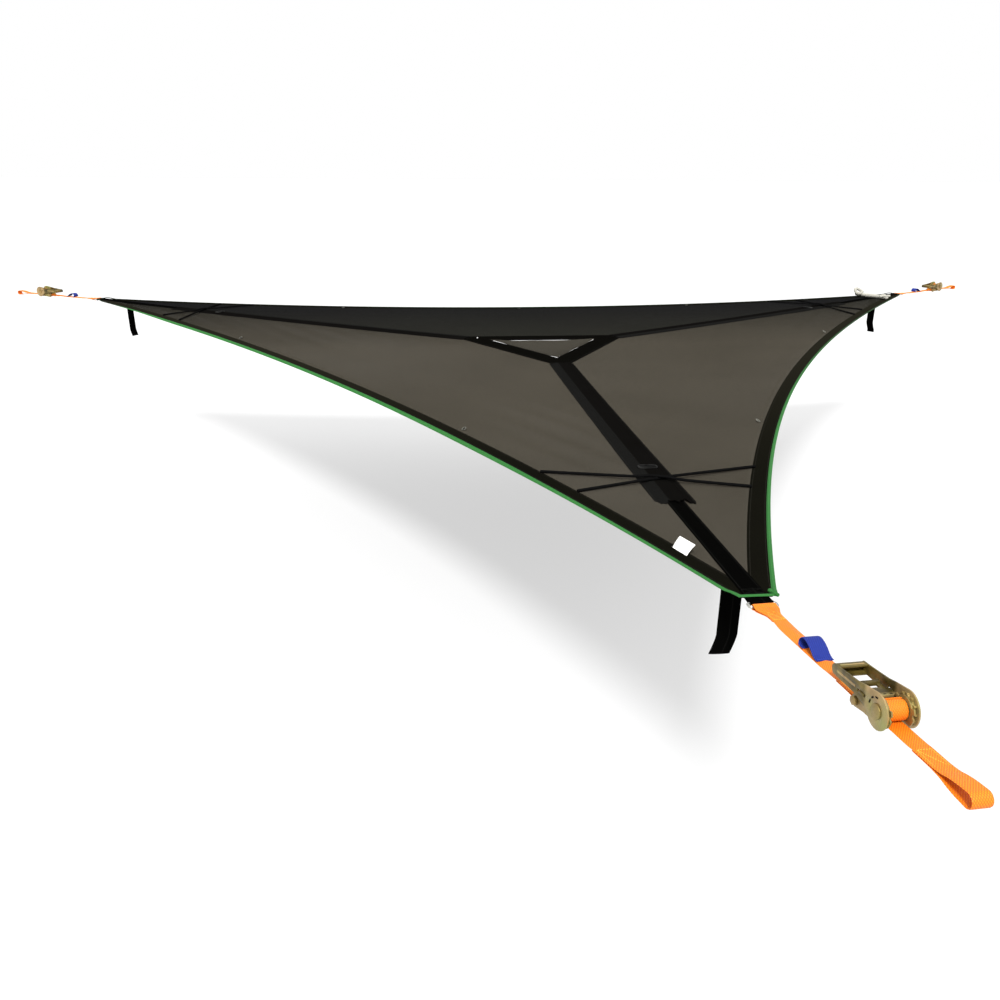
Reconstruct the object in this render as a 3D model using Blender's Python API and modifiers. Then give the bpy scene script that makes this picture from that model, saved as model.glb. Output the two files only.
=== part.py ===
"""Three-anchor triangle hammock with a centre hatch and three ratchet straps.

Metres, +Z up. The origin is the middle of the triangle, in the plane of its three corners.
The near corner points along -Y, the right corner along 30 degrees and the left one along 150.
All fabric follows one shallow dish, so every layer is placed above or below that surface.
A corner's hardware is built in its own frame: +X outwards along the strap, +Z up.
"""

import math

import bmesh
import bpy
import numpy as np
from mathutils import Matrix, Vector

# Plan of the hammock
CORNER_ANGLES = {"near": -90.0, "right": 30.0, "left": 150.0}
STRAP_SWING = {"near": 3.7, "right": 0.0, "left": 0.0}  # degrees that a strap leaves its bisector
STRAP_RISE = {"near": 3.6, "right": 0.0, "left": 0.0}  # degrees that a strap climbs outwards
EDGES = {"right": ("near", "right"), "far": ("right", "left"), "left": ("left", "near")}
CORNER_RADIUS = 2.30  # centre to the flat end of a corner
CORNER_END_WIDTH = 0.064
EDGE_CURVE = 0.207  # how far an edge bows in at its middle
SAG = 0.031  # depth of the dish at the centre
GAP = 0.0003  # clearance between neighbouring pieces

# Fabric and sewn layers
PANEL_THICK = 0.0010
SEAM_GAP = 0.0008  # between two panels, under a strap
HEM_WIDTH = 0.036
HEM_THICK = 0.0016
BINDING_WIDTH = 0.0085
BINDING_THICK = 0.0034
WEB_THICK = 0.0018
BODY_WEB_WIDTH = 0.038
SLEEVE_WIDTH = 0.085
SLEEVE_SKIN = 0.0014
SLEEVE_MOUTH = 1.84  # radius where the sleeve over a strap begins
STRAP_SHOULDER = 0.038  # strap end back from the corner end, where the corner loop starts
EDGE_STATIONS = 21
PANEL_ROWS = 6
PANEL_TIP = 0.010  # share of an edge left out at a panel's tips
HATCH_SHARE = 0.16  # share of an edge that looks at the hatch instead of a strap

# Hatch
HATCH_RADIUS = 0.245  # centre to a vertex of the opening
HATCH_BAND_WIDTH = 0.080
HATCH_BAND_THICK = 0.0024
HATCH_CORNER_CUT = 0.345  # radius where a sleeve meets the band
FLAP_THICK = 0.0012
FLAP_EDGE_CLEAR = 0.006  # free edges to the band
FLAP_SEAM_CLEAR = 0.0005  # hinge line to the band's edge
FLAP_SAG = 0.030
FLAP_FAR_SAG = 0.004

# Gear cords, slider, label, hanging straps and corner tie
GEAR_CORD_DIAMETER = 0.0055
GEAR_CORD_OUTER = (1.744, 0.190)  # radius and half width of the X at its two ends
GEAR_CORD_INNER = (1.600, 0.249)
SLIDER_RADIUS = 1.588
SLIDER_LENGTH = 0.026
SLIDER_RIM = 0.0045
SLIDER_THICK = 0.003
SLIDER_SLOT = 0.006
LABEL_SIZE = (0.043, 0.028, 0.0008)
LABEL_START = (-0.0785, -2.074)
LABEL_END = (-0.0635, -2.115)
LABEL_TILT = 50.0
HANGER_RADIUS = {"near": 2.185, "right": 2.110, "left": 2.126}
HANGER_LENGTH = 0.155
HANGER_KICK = 0.011  # sideways, at the free end
HANGER_BEND = 0.76  # share of its length where a hanger starts to turn
HANGER_SHIFT = -0.003
TIE_DIAMETER = 0.015
TIE_POINTS = (  # along the tie: x, y and the clearance below it
    (1.752, 1.132, 0.024),
    (1.772, 1.118, 0.018),
    (1.786, 1.100, 0.008),
    (1.794, 1.084, 0.0),
    (1.806, 1.074, 0.0),
    (1.822, 1.062, 0.0),
    (1.830, 1.046, 0.0),
    (1.840, 1.032, 0.0),
    (1.852, 1.022, 0.0),
    (1.862, 1.006, 0.001),
    (1.866, 0.988, 0.0),
    (1.868, 0.970, 0.0),
)

# Corner ring and loop
RING_WIRE = 0.005
RING_BAR_SPACING = 0.012
RING_INNER_WIDTH = 0.040
RING_SETBACK = 0.014  # inner bar beyond the corner end
RING_BEND = 0.0032
LOOP_TAIL = 0.100  # lower ply of the corner loop, back from the corner end

# Ratchet strap webbing
STRAP_WIDTH = 0.025
STRAP_SEWN = 0.055  # doubled length at each end
RING_PLAY = 0.00095  # room round the ring's bar, so that a strap can swing
STRAP_TO_BOLT = 0.300  # ring bar to anchor bolt
TAB_START = 0.126
TAB_LENGTH = 0.062
TAB_HEIGHT = 0.022
TAB_PEAK = 0.27
TAIL_STRAIGHT = 0.110
EYE_LENGTH = 0.060
EYE_HEIGHT = 0.020

# Ratchet buckle: the origin is the spool's axis
BOLT_TO_SPOOL = 0.056
BOLT_RADIUS = 0.004
BOLT_HEAD_RADIUS = 0.0065
BOLT_HEAD_THICK = 0.0035
PLATE_THICK = 0.002
WHEEL_THICK = 0.003
WEB_ROOM = 0.001  # between webbing and each base plate
SHAFT_RADIUS = 0.007
SHAFT_SLOT = 0.0022
SHAFT_CAP_RADIUS = 0.0095
SHAFT_CAP_THICK = 0.0015
HOLE_CLEARANCE = 0.0004
COIL_RADIUS = 0.0145
TEETH = 12
TOOTH_ROOT = 0.0170
TOOTH_TIP = 0.0205
CAM_CROWN = 0.0220
CAM_LOW = 0.0215
CAM_WORK = 0.0170
CAM_NOTCH = 0.0186
NOTCH_ANGLES = (158.0, 171.5)
BASE_LOBE = 0.0085
BASE_TOP = 0.0015
BASE_FLOOR = (-0.046, -0.026)
BASE_FLOOR_DEPTH = 0.0185
HANDLE_DISC = 0.0235
HANDLE_LENGTH = 0.108
HANDLE_OPEN = 165.0
GRIP_LENGTH = 0.017
GRIP_HEIGHT = 0.014
GRIP_CENTRE = 0.0055
PAWL_OFFSET = 0.0052  # pawl's middle above or below the spool's axis
PAWL_THICK = 0.003
DRIVE_TIP = 0.0225
DRIVE_SEAT = 0.0034
DRIVE_PULL = 0.0045
DRIVE_LENGTH = 0.0375
LOCK_TIP = 0.0172
LOCK_TRAVEL = 0.0045
LOCK_LENGTH = 0.024
LOCK_EAR = 0.010
EAR_LENGTH = 0.010
EAR_START = 0.0300

# Worked out from the values above
BINDING_INSET = BINDING_WIDTH
BINDING_LIFT = HEM_THICK / 2 + WEB_THICK + 2 * GAP + BINDING_THICK / 2  # over a corner's webbing
HEM_OUTER = BINDING_INSET + GAP
HEM_INNER = HEM_OUTER + HEM_WIDTH
PANEL_INSET = HEM_INNER + GAP
STRAP_BOTTOM = HEM_THICK / 2 + GAP
STRAP_TOP = STRAP_BOTTOM + WEB_THICK
SLEEVE_FOOT = PANEL_THICK / 2 + GAP
SLEEVE_ROOF = STRAP_TOP + GAP
SLEEVE_TOP = SLEEVE_ROOF + SLEEVE_SKIN
RING_INNER_BAR = CORNER_RADIUS + RING_SETBACK
RING_OUTER_BAR = RING_INNER_BAR + RING_BAR_SPACING
BASE_INNER = STRAP_WIDTH / 2 + WEB_ROOM
BASE_OUTER = BASE_INNER + PLATE_THICK
WHEEL_INNER = BASE_OUTER + GAP
WHEEL_OUTER = WHEEL_INNER + WHEEL_THICK
HANDLE_INNER = WHEEL_OUTER + GAP
HANDLE_OUTER = HANDLE_INNER + PLATE_THICK
STRAP_DROP = COIL_RADIUS + WEB_THICK / 2 + GAP  # strap's middle below the spool's axis
SPOOL_DISTANCE = STRAP_TO_BOLT + BOLT_TO_SPOOL
HATCH_INRADIUS = HATCH_RADIUS / 2

COLOURS = {
    "mesh_fabric": ((0.085, 0.078, 0.065), 0.85, 0.0),
    "hem_fabric": ((0.010, 0.010, 0.008), 0.80, 0.0),
    "binding_green": ((0.070, 0.290, 0.080), 0.70, 0.0),
    "webbing_black": ((0.006, 0.006, 0.006), 0.75, 0.0),
    "webbing_orange": ((0.900, 0.330, 0.030), 0.65, 0.0),
    "zinc_steel": ((0.420, 0.300, 0.110), 0.38, 1.0),
    "bright_steel": ((0.620, 0.620, 0.610), 0.30, 1.0),
    "white_cloth": ((0.820, 0.800, 0.760), 0.80, 0.0),
    "elastic_black": ((0.012, 0.012, 0.012), 0.60, 0.0),
}


def clear_scene():
    for item in list(bpy.data.objects):
        bpy.data.objects.remove(item, do_unlink=True)


def new_collection(name):
    collection = bpy.data.collections.new(name)
    bpy.context.scene.collection.children.link(collection)
    return collection


def material(finish, name):
    """Each piece gets its own material in its finish's colour."""
    colour, roughness, metallic = COLOURS[finish]
    made = bpy.data.materials.new(name)
    made.use_nodes = True
    shader = made.node_tree.nodes["Principled BSDF"]
    shader.inputs["Base Color"].default_value = (*colour, 1.0)
    shader.inputs["Roughness"].default_value = roughness
    shader.inputs["Metallic"].default_value = metallic
    return made


def part_object(name, mesh, finish, parent=None):
    item = bpy.data.objects.new(name, mesh)
    PARTS.objects.link(item)
    if not mesh.materials:
        mesh.materials.append(material(finish, name))
    item.parent = parent
    return item


def anchor_empty(name, angle, location=(0.0, 0.0, 0.0), parent=None):
    """A frame turned about +Z, whose +X points outwards."""
    item = bpy.data.objects.new(name, None)
    PARTS.objects.link(item)
    item.rotation_euler[2] = math.radians(angle)
    item.location = location
    item.parent = parent
    return item


def dish(x, y):
    """Height of the fabric's middle: a paraboloid through the three corners."""
    return -SAG * (1.0 - (x * x + y * y) / CORNER_RADIUS**2)


def polar(angle, radial, tangential=0.0):
    a = math.radians(angle)
    return np.array(
        [
            radial * math.cos(a) - tangential * math.sin(a),
            radial * math.sin(a) + tangential * math.cos(a),
        ]
    )


def edge_point(edge, t, inset):
    """A point of an edge: a chord bowed inwards as a parabola, then moved in by the inset."""
    start, end = (CORNER_ANGLES[corner] for corner in EDGES[edge])
    first = polar(start, CORNER_RADIUS, CORNER_END_WIDTH / 2)
    last = polar(end, CORNER_RADIUS, -CORNER_END_WIDTH / 2)
    chord = last - first
    inward = np.array([-chord[1], chord[0]]) / np.linalg.norm(chord)
    point = first + chord * t + inward * EDGE_CURVE * 4.0 * t * (1.0 - t)
    slope = chord + inward * EDGE_CURVE * 4.0 * (1.0 - 2.0 * t)
    normal = np.array([-slope[1], slope[0]]) / np.linalg.norm(slope)
    return point + normal * inset


def edge_angle():
    """Angle between an edge and the bisector where they leave the corner."""
    chord = math.sqrt(3.0) * CORNER_RADIUS - CORNER_END_WIDTH
    return math.radians(30.0) - math.atan(4.0 * EDGE_CURVE / chord)


def end_half_width(inset):
    """Half the corner end's width after all sides move in by the inset."""
    angle = edge_angle()
    return CORNER_END_WIDTH / 2 + inset * math.tan(angle) - inset / math.cos(angle)


def seam_start(edge, inset, clearance):
    """Where an inset edge crosses the bisector of its first corner, as a share of the edge."""
    angle = math.radians(CORNER_ANGLES[EDGES[edge][0]])
    across = np.array([-math.sin(angle), math.cos(angle)])
    low, high = 0.0, 0.3
    if edge_point(edge, low, inset) @ across >= clearance:
        return low
    for _ in range(40):
        middle = (low + high) / 2
        if edge_point(edge, middle, inset) @ across < clearance:
            low = middle
        else:
            high = middle
    return high


def edge_stations(edge):
    """Shares of an edge that the hem and the panel both use, so their facets run parallel."""
    start = seam_start(edge, PANEL_INSET, SEAM_GAP / 2)
    inner = np.linspace(PANEL_TIP, 1.0 - PANEL_TIP, EDGE_STATIONS)
    return start + (1.0 - 2.0 * start) * inner


def lifted(points, height=0.0):
    """Flat points raised onto the dish."""
    points = np.asarray(points, float)
    z = dish(points[..., 0], points[..., 1]) + height
    return np.concatenate([points, z[..., None]], axis=-1)


def sheet(name, points, thickness, finish, parent=None, closed=False):
    """A grid laid on an array of points, rows by columns, with a wall from Solidify."""
    rows, columns = points.shape[:2]
    bm = bmesh.new()
    bmesh.ops.create_grid(bm, x_segments=columns - 1, y_segments=rows - 1, size=1.0)
    for vert in bm.verts:
        column = round((vert.co.x + 1.0) / 2.0 * (columns - 1))
        row = round((vert.co.y + 1.0) / 2.0 * (rows - 1))
        vert.co = Vector(points[row, column])
    if closed:
        bmesh.ops.remove_doubles(bm, verts=bm.verts, dist=1e-5)
    mesh = bpy.data.meshes.new(name)
    bm.to_mesh(mesh)
    bm.free()
    item = part_object(name, mesh, finish, parent)
    wall = item.modifiers.new("wall", "SOLIDIFY")
    wall.thickness = thickness
    wall.offset = 0.0
    return item


def loft(name, rings):
    """A closed profile carried through its stations, with flat ends."""
    count = len(rings[0])
    verts = [tuple(point) for ring in rings for point in ring]
    faces = [tuple(range(count))[::-1]]
    for station in range(len(rings) - 1):
        here, there = station * count, (station + 1) * count
        for i in range(count):
            j = (i + 1) % count
            faces.append((here + i, here + j, there + j, there + i))
    faces.append(tuple(range((len(rings) - 1) * count, len(rings) * count)))
    mesh = bpy.data.meshes.new(name)
    mesh.from_pydata(verts, [], faces)
    bm = bmesh.new()
    bm.from_mesh(mesh)
    bmesh.ops.recalc_face_normals(bm, faces=bm.faces)
    bm.to_mesh(mesh)
    bm.free()
    return mesh


def curve_mesh(name, curve, matrix=None):
    """The evaluated mesh of a curve, with its caps welded."""
    item = bpy.data.objects.new(name, curve)
    PARTS.objects.link(item)
    bpy.context.view_layer.update()
    evaluated = item.evaluated_get(bpy.context.evaluated_depsgraph_get())
    mesh = bpy.data.meshes.new_from_object(evaluated)
    bpy.data.objects.remove(item, do_unlink=True)
    bm = bmesh.new()
    bm.from_mesh(mesh)
    bmesh.ops.remove_doubles(bm, verts=bm.verts, dist=1e-6)
    if matrix:
        bmesh.ops.transform(bm, matrix=matrix, verts=bm.verts)
    bmesh.ops.recalc_face_normals(bm, faces=bm.faces)
    bm.to_mesh(mesh)
    bm.free()
    mesh.materials.clear()
    return mesh


def outline_mesh(name, outline, thickness, holes=(), matrix=None):
    """A flat outline with holes, filled and given its thickness about its own plane."""
    curve = bpy.data.curves.new(name, "CURVE")
    curve.dimensions = "2D"
    curve.fill_mode = "BOTH"
    curve.extrude = thickness / 2
    for points in (outline, *holes):
        spline = curve.splines.new("POLY")
        spline.points.add(len(points) - 1)
        for slot, (x, y) in zip(spline.points, points):
            slot.co = (x, y, 0.0, 1.0)
        spline.use_cyclic_u = True
    return curve_mesh(name, curve, matrix)


def side_plate(name, outline, middle, thickness, holes=()):
    """An outline drawn in the side view, X and Z, standing at a place across the buckle."""
    matrix = Matrix.Translation((0.0, middle, 0.0)) @ Matrix.Rotation(math.pi / 2, 4, "X")
    return outline_mesh(name, outline, thickness, holes, matrix)


def tube_mesh(name, points, diameter, cyclic=False, resolution=2):
    curve = bpy.data.curves.new(name, "CURVE")
    curve.dimensions = "3D"
    curve.bevel_depth = diameter / 2
    curve.bevel_resolution = resolution
    curve.use_fill_caps = True
    spline = curve.splines.new("POLY")
    spline.points.add(len(points) - 1)
    for slot, point in zip(spline.points, points):
        slot.co = (*point, 1.0)
    spline.use_cyclic_u = cyclic
    return curve_mesh(name, curve)


def cylinder_mesh(name, radius, low, high, centre=(0.0, 0.0), segments=20):
    """A cylinder across the buckle, along Y, at a centre in the side view."""
    bm = bmesh.new()
    bmesh.ops.create_cone(
        bm,
        cap_ends=True,
        segments=segments,
        radius1=radius,
        radius2=radius,
        depth=high - low,
    )
    turn = Matrix.Rotation(math.pi / 2, 4, "X")
    place = Matrix.Translation((centre[0], (low + high) / 2, centre[1]))
    bmesh.ops.transform(bm, matrix=place @ turn, verts=bm.verts)
    mesh = bpy.data.meshes.new(name)
    bm.to_mesh(mesh)
    bm.free()
    return mesh


def box_mesh(name, low, high):
    bm = bmesh.new()
    bmesh.ops.create_cube(bm, size=1.0)
    size = Vector(high) - Vector(low)
    middle = (Vector(high) + Vector(low)) / 2
    scale = Matrix.Diagonal((*size, 1.0))
    bmesh.ops.transform(bm, matrix=Matrix.Translation(middle) @ scale, verts=bm.verts)
    mesh = bpy.data.meshes.new(name)
    bm.to_mesh(mesh)
    bm.free()
    return mesh


def combined(name, first, unions=(), cuts=()):
    """The mesh of one shape after its unions and cuts, made once and shared by its copies."""
    item = bpy.data.objects.new(name, first)
    CUTTERS.objects.link(item)
    tools = []
    for operation, shapes in (("UNION", unions), ("DIFFERENCE", cuts)):
        for i, shape in enumerate(shapes):
            tool = bpy.data.objects.new(f"{name}_{operation.lower()}_{i}", shape)
            tool.hide_render = True
            tool.display_type = "WIRE"
            CUTTERS.objects.link(tool)
            tools.append(tool)
            step = item.modifiers.new(tool.name, "BOOLEAN")
            step.operation = operation
            step.solver = "EXACT"
            step.object = tool
    bpy.context.view_layer.update()
    evaluated = item.evaluated_get(bpy.context.evaluated_depsgraph_get())
    mesh = bpy.data.meshes.new_from_object(evaluated)
    for made in (item, *tools):
        bpy.data.objects.remove(made, do_unlink=True)
    mesh.materials.clear()
    mesh.name = name
    return mesh


def arc(radius, start, end, steps, centre=(0.0, 0.0)):
    """Points of an arc in the side view, angles in degrees from +X towards +Z."""
    angles = np.radians(np.linspace(start, end, steps + 1))
    return [
        (centre[0] + radius * math.cos(a), centre[1] + radius * math.sin(a)) for a in angles
    ]


def rectangle(x0, x1, z0, z1):
    return [(x0, z0), (x1, z0), (x1, z1), (x0, z1)]


def build_panels():
    """Three mesh panels: each is ruled from its hem to the two straps and the hatch."""
    for edge in EDGES:
        start, end = (CORNER_ANGLES[corner] for corner in EDGES[edge])
        stations = edge_stations(edge)
        outer = np.array([edge_point(edge, t, PANEL_INSET) for t in stations])
        tip = abs(outer[0] @ polar(start, 1.0))
        side = SEAM_GAP / 2
        inner = []
        for t in stations:
            strap = min(t, 1.0 - t) / (0.5 - HATCH_SHARE / 2)
            if strap < 1.0:
                radial = tip + (HATCH_RADIUS - tip) * strap
                angle, across = (start, side) if t < 0.5 else (end, -side)
                inner.append(polar(angle, radial, across))
            else:
                share = (t - 0.5) / HATCH_SHARE + 0.5
                first = polar(start, HATCH_RADIUS, side)
                last = polar(end, HATCH_RADIUS, -side)
                inner.append(first + (last - first) * share)
        inner = np.array(inner)
        rows = np.linspace(0.0, 1.0, PANEL_ROWS)[:, None, None]
        points = outer * (1.0 - rows) + inner * rows
        sheet(f"mesh_panel_{edge}", lifted(points), PANEL_THICK, "mesh_fabric")


def build_hems():
    """The dark border strips, cut square at each corner's bisector."""
    for edge in EDGES:
        start, end = (CORNER_ANGLES[corner] for corner in EDGES[edge])
        stations = edge_stations(edge)
        flat = CORNER_RADIUS - HEM_OUTER
        half = end_half_width(HEM_OUTER)
        first_cross = seam_start(edge, HEM_INNER, GAP / 2)
        outer = [polar(start, flat, GAP / 2), polar(start, flat, half)]
        outer += [edge_point(edge, t, HEM_OUTER) for t in stations]
        outer += [polar(end, flat, -half), polar(end, flat, -GAP / 2)]
        near = (first_cross + stations[0]) / 2
        inner = [edge_point(edge, t, HEM_INNER) for t in (first_cross, near)]
        inner += [edge_point(edge, t, HEM_INNER) for t in stations]
        inner += [edge_point(edge, 1.0 - t, HEM_INNER) for t in (near, first_cross)]
        sheet(f"hem_{edge}", lifted(np.array([outer, inner])), HEM_THICK, "hem_fabric")


def build_binding():
    """The green binding: one flat tape round the outline, which rises over the corners' webbing."""
    loops = []
    for inset in (0.0, BINDING_INSET):
        loop, lifts = [], []
        for edge in EDGES:
            corner = CORNER_ANGLES[EDGES[edge][0]]
            half = end_half_width(inset)
            loop.append(polar(corner, CORNER_RADIUS - inset, -half))
            loop.append(polar(corner, CORNER_RADIUS - inset, half))
            loop += [edge_point(edge, t, inset) for t in edge_stations(edge)]
            lifts += [BINDING_LIFT, BINDING_LIFT] + [0.0] * EDGE_STATIONS
        loops.append([*loop, loop[0]])
    points = lifted(np.array(loops))
    points[..., 2] += np.array([*lifts, lifts[0]])
    sheet("edge_binding", points, BINDING_THICK, "binding_green", closed=True)


def strap_profile(width, low, high):
    return [(-width / 2, low), (width / 2, low), (width / 2, high), (-width / 2, high)]


def radial_rings(profile, start, end, stations):
    """A profile, across and up, carried outwards along a bisector on the dish."""
    rings = []
    for radial in np.linspace(start, end, stations):
        rings.append([(radial, across, dish(radial, 0.0) + up) for across, up in profile])
    return rings


def build_straps():
    """Body straps, the wide sleeves over their inner ends and the sliders on them."""
    strap_profile_points = strap_profile(BODY_WEB_WIDTH, STRAP_BOTTOM, STRAP_TOP)
    strap = loft(
        "body_strap",
        radial_rings(
            strap_profile_points,
            HATCH_CORNER_CUT + 2 * GAP,
            CORNER_RADIUS - STRAP_SHOULDER - GAP,
            14,
        ),
    )
    room = BODY_WEB_WIDTH / 2 + 2 * GAP
    half = SLEEVE_WIDTH / 2
    sleeve_profile = [
        (-half, SLEEVE_FOOT),
        (-room, SLEEVE_FOOT),
        (-room, SLEEVE_ROOF),
        (room, SLEEVE_ROOF),
        (room, SLEEVE_FOOT),
        (half, SLEEVE_FOOT),
        (half, SLEEVE_TOP),
        (-half, SLEEVE_TOP),
    ]
    sleeve = loft(
        "strap_sleeve",
        radial_rings(sleeve_profile, HATCH_CORNER_CUT + 2 * GAP, SLEEVE_MOUTH, 12),
    )
    outer = BODY_WEB_WIDTH / 2 + SLIDER_RIM
    inner = BODY_WEB_WIDTH / 2 + GAP
    length = SLIDER_LENGTH / 2
    bar = length - SLIDER_RIM - SLIDER_SLOT
    corner = SLIDER_RIM / 2
    rim = [
        (-length + corner, -outer),
        (length - corner, -outer),
        (length, -outer + corner),
        (length, outer - corner),
        (length - corner, outer),
        (-length + corner, outer),
        (-length, outer - corner),
        (-length, -outer + corner),
    ]
    slots = [
        rectangle(-length + SLIDER_RIM, -bar, -inner, inner),
        rectangle(bar, length - SLIDER_RIM, -inner, inner),
    ]
    height = dish(SLIDER_RADIUS, 0.0) + SLEEVE_TOP + GAP + SLIDER_THICK / 2
    slider = outline_mesh(
        "slider", rim, SLIDER_THICK, slots, Matrix.Translation((SLIDER_RADIUS, 0.0, height))
    )
    for corner_name in CORNER_ANGLES:
        frame = CORNER_FRAMES[corner_name]
        part_object(f"body_strap_{corner_name}", strap, "webbing_black", frame)
        part_object(f"strap_sleeve_{corner_name}", sleeve, "webbing_black", frame)
        part_object(f"slider_buckle_{corner_name}", slider, "bright_steel", frame)


def build_gear_cords():
    """Crossed elastic cords over each body strap, held at the hems."""
    top = SLEEVE_TOP + GAP + GEAR_CORD_DIAMETER / 2
    end = HEM_THICK / 2 + GAP + GEAR_CORD_DIAMETER / 2
    over = SLEEVE_WIDTH / 2 + 0.005
    down = over + 0.030
    inner_end, outer_end = GEAR_CORD_INNER[1], -GEAR_CORD_OUTER[1]
    meshes = []
    for sign, lift in ((1.0, 0.0), (-1.0, 0.0015)):
        points = []
        for across in (inner_end, 0.16, down, over, 0.0, -over, -down, -0.13, outer_end):
            share = (inner_end - across) / (inner_end - outer_end)
            radial = GEAR_CORD_INNER[0] + (GEAR_CORD_OUTER[0] - GEAR_CORD_INNER[0]) * share
            height = top + lift if abs(across) <= over else end
            points.append((radial, sign * across, dish(radial, across) + height))
        meshes.append(tube_mesh("gear_cord", points, GEAR_CORD_DIAMETER))
    crossed = combined("gear_cords", meshes[0], unions=[meshes[1]])
    for corner_name in CORNER_ANGLES:
        frame = CORNER_FRAMES[corner_name]
        part_object(f"gear_cords_{corner_name}", crossed, "elastic_black", frame)


def build_hatch():
    """The triangular band round the hatch, and the sagging flap sewn to its near left side."""
    outer_inradius = HATCH_INRADIUS + HATCH_BAND_WIDTH
    half_cut = (2 * outer_inradius - HATCH_CORNER_CUT) * math.tan(math.radians(30.0))
    outline, opening = [], []
    for angle in CORNER_ANGLES.values():
        outline.append(tuple(polar(angle, HATCH_CORNER_CUT, -half_cut)))
        outline.append(tuple(polar(angle, HATCH_CORNER_CUT, half_cut)))
        opening.append(tuple(polar(angle, HATCH_RADIUS)))
    bottom = dish(HATCH_CORNER_CUT, 0.0) + PANEL_THICK / 2 + 2 * GAP
    height = bottom + HATCH_BAND_THICK / 2
    band = outline_mesh(
        "hatch_band",
        outline,
        HATCH_BAND_THICK,
        [opening],
        Matrix.Translation((0.0, 0.0, height)),
    )
    part_object("hatch_band", band, "webbing_black")
    seam = HATCH_INRADIUS - FLAP_SEAM_CLEAR
    free = HATCH_INRADIUS - FLAP_EDGE_CLEAR
    root3 = math.sqrt(3.0)
    reach = 2 * free
    spread = (2 * free + seam) / root3
    middle = CORNER_ANGLES["left"] + 60.0
    corners = {
        "left": polar(middle, seam, -spread),
        "near": polar(middle, seam, spread),
        "right": polar(CORNER_ANGLES["right"], reach),
    }
    hinge = (corners["near"] + corners["left"]) / 2
    height += HATCH_BAND_THICK / 2 + GAP + FLAP_THICK / 2
    rows, columns = 7, 9
    points = np.zeros((rows, columns, 3))
    for row in range(rows):
        towards = 0.96 * row / (rows - 1)
        for column in range(columns):
            across = column / (columns - 1)
            left = across * (1.0 - towards)
            near = (1.0 - across) * (1.0 - towards)
            flat = corners["near"] * near + corners["left"] * left + corners["right"] * towards
            belly = FLAP_SAG * 27.0 * left * near * towards
            far = FLAP_FAR_SAG * 4.0 * left * towards
            points[row, column] = (flat[0] - hinge[0], flat[1] - hinge[1], -belly - far)
    frame = anchor_empty("hatch_hinge", 0.0, (hinge[0], hinge[1], height))
    sheet("hatch_flap", points, FLAP_THICK, "mesh_fabric", frame)


def build_corner_trim():
    """Hanging straps, care label and the soft white tie at the right corner."""
    profile = strap_profile(BODY_WEB_WIDTH, -WEB_THICK / 2, WEB_THICK / 2)
    rings = []
    turned = HANGER_BEND + (1.0 - HANGER_BEND) * np.linspace(0.0, 1.0, 5)
    for share in (0.0, HANGER_BEND / 2, *turned):
        bow = HANGER_KICK * max(0.0, (share - HANGER_BEND) / (1.0 - HANGER_BEND)) ** 1.4
        rings.append([(out, y - bow, -HANGER_LENGTH * share) for y, out in profile])
    hanger = loft("hanging_strap", rings)
    for corner_name, radial in HANGER_RADIUS.items():
        frame = CORNER_FRAMES[corner_name]
        item = part_object(f"hanging_strap_{corner_name}", hanger, "webbing_black", frame)
        item.location = (radial, HANGER_SHIFT, dish(radial, 0.0) - HEM_THICK / 2 - 2 * GAP)
    start, end = np.array(LABEL_START), np.array(LABEL_END)
    along = (end - start) / np.linalg.norm(end - start)
    middle = (start + end) / 2
    width, tall, thick = LABEL_SIZE
    label = box_mesh("care_label", (-width / 2, 0.0, 0.0), (width / 2, tall, thick))
    item = part_object("care_label", label, "white_cloth")
    foot = dish(middle[0], middle[1]) + HEM_THICK / 2 + 2 * GAP
    turn = math.atan2(along[1], along[0])
    item.rotation_euler = (math.radians(LABEL_TILT), 0.0, turn)
    item.location = (middle[0], middle[1], foot)
    rest = STRAP_TOP + GAP + TIE_DIAMETER / 2
    points = [(x, y, dish(x, y) + rest + clearance) for x, y, clearance in TIE_POINTS]
    tie = tube_mesh("corner_tie", points, TIE_DIAMETER)
    part_object("corner_tie", tie, "white_cloth")


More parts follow.
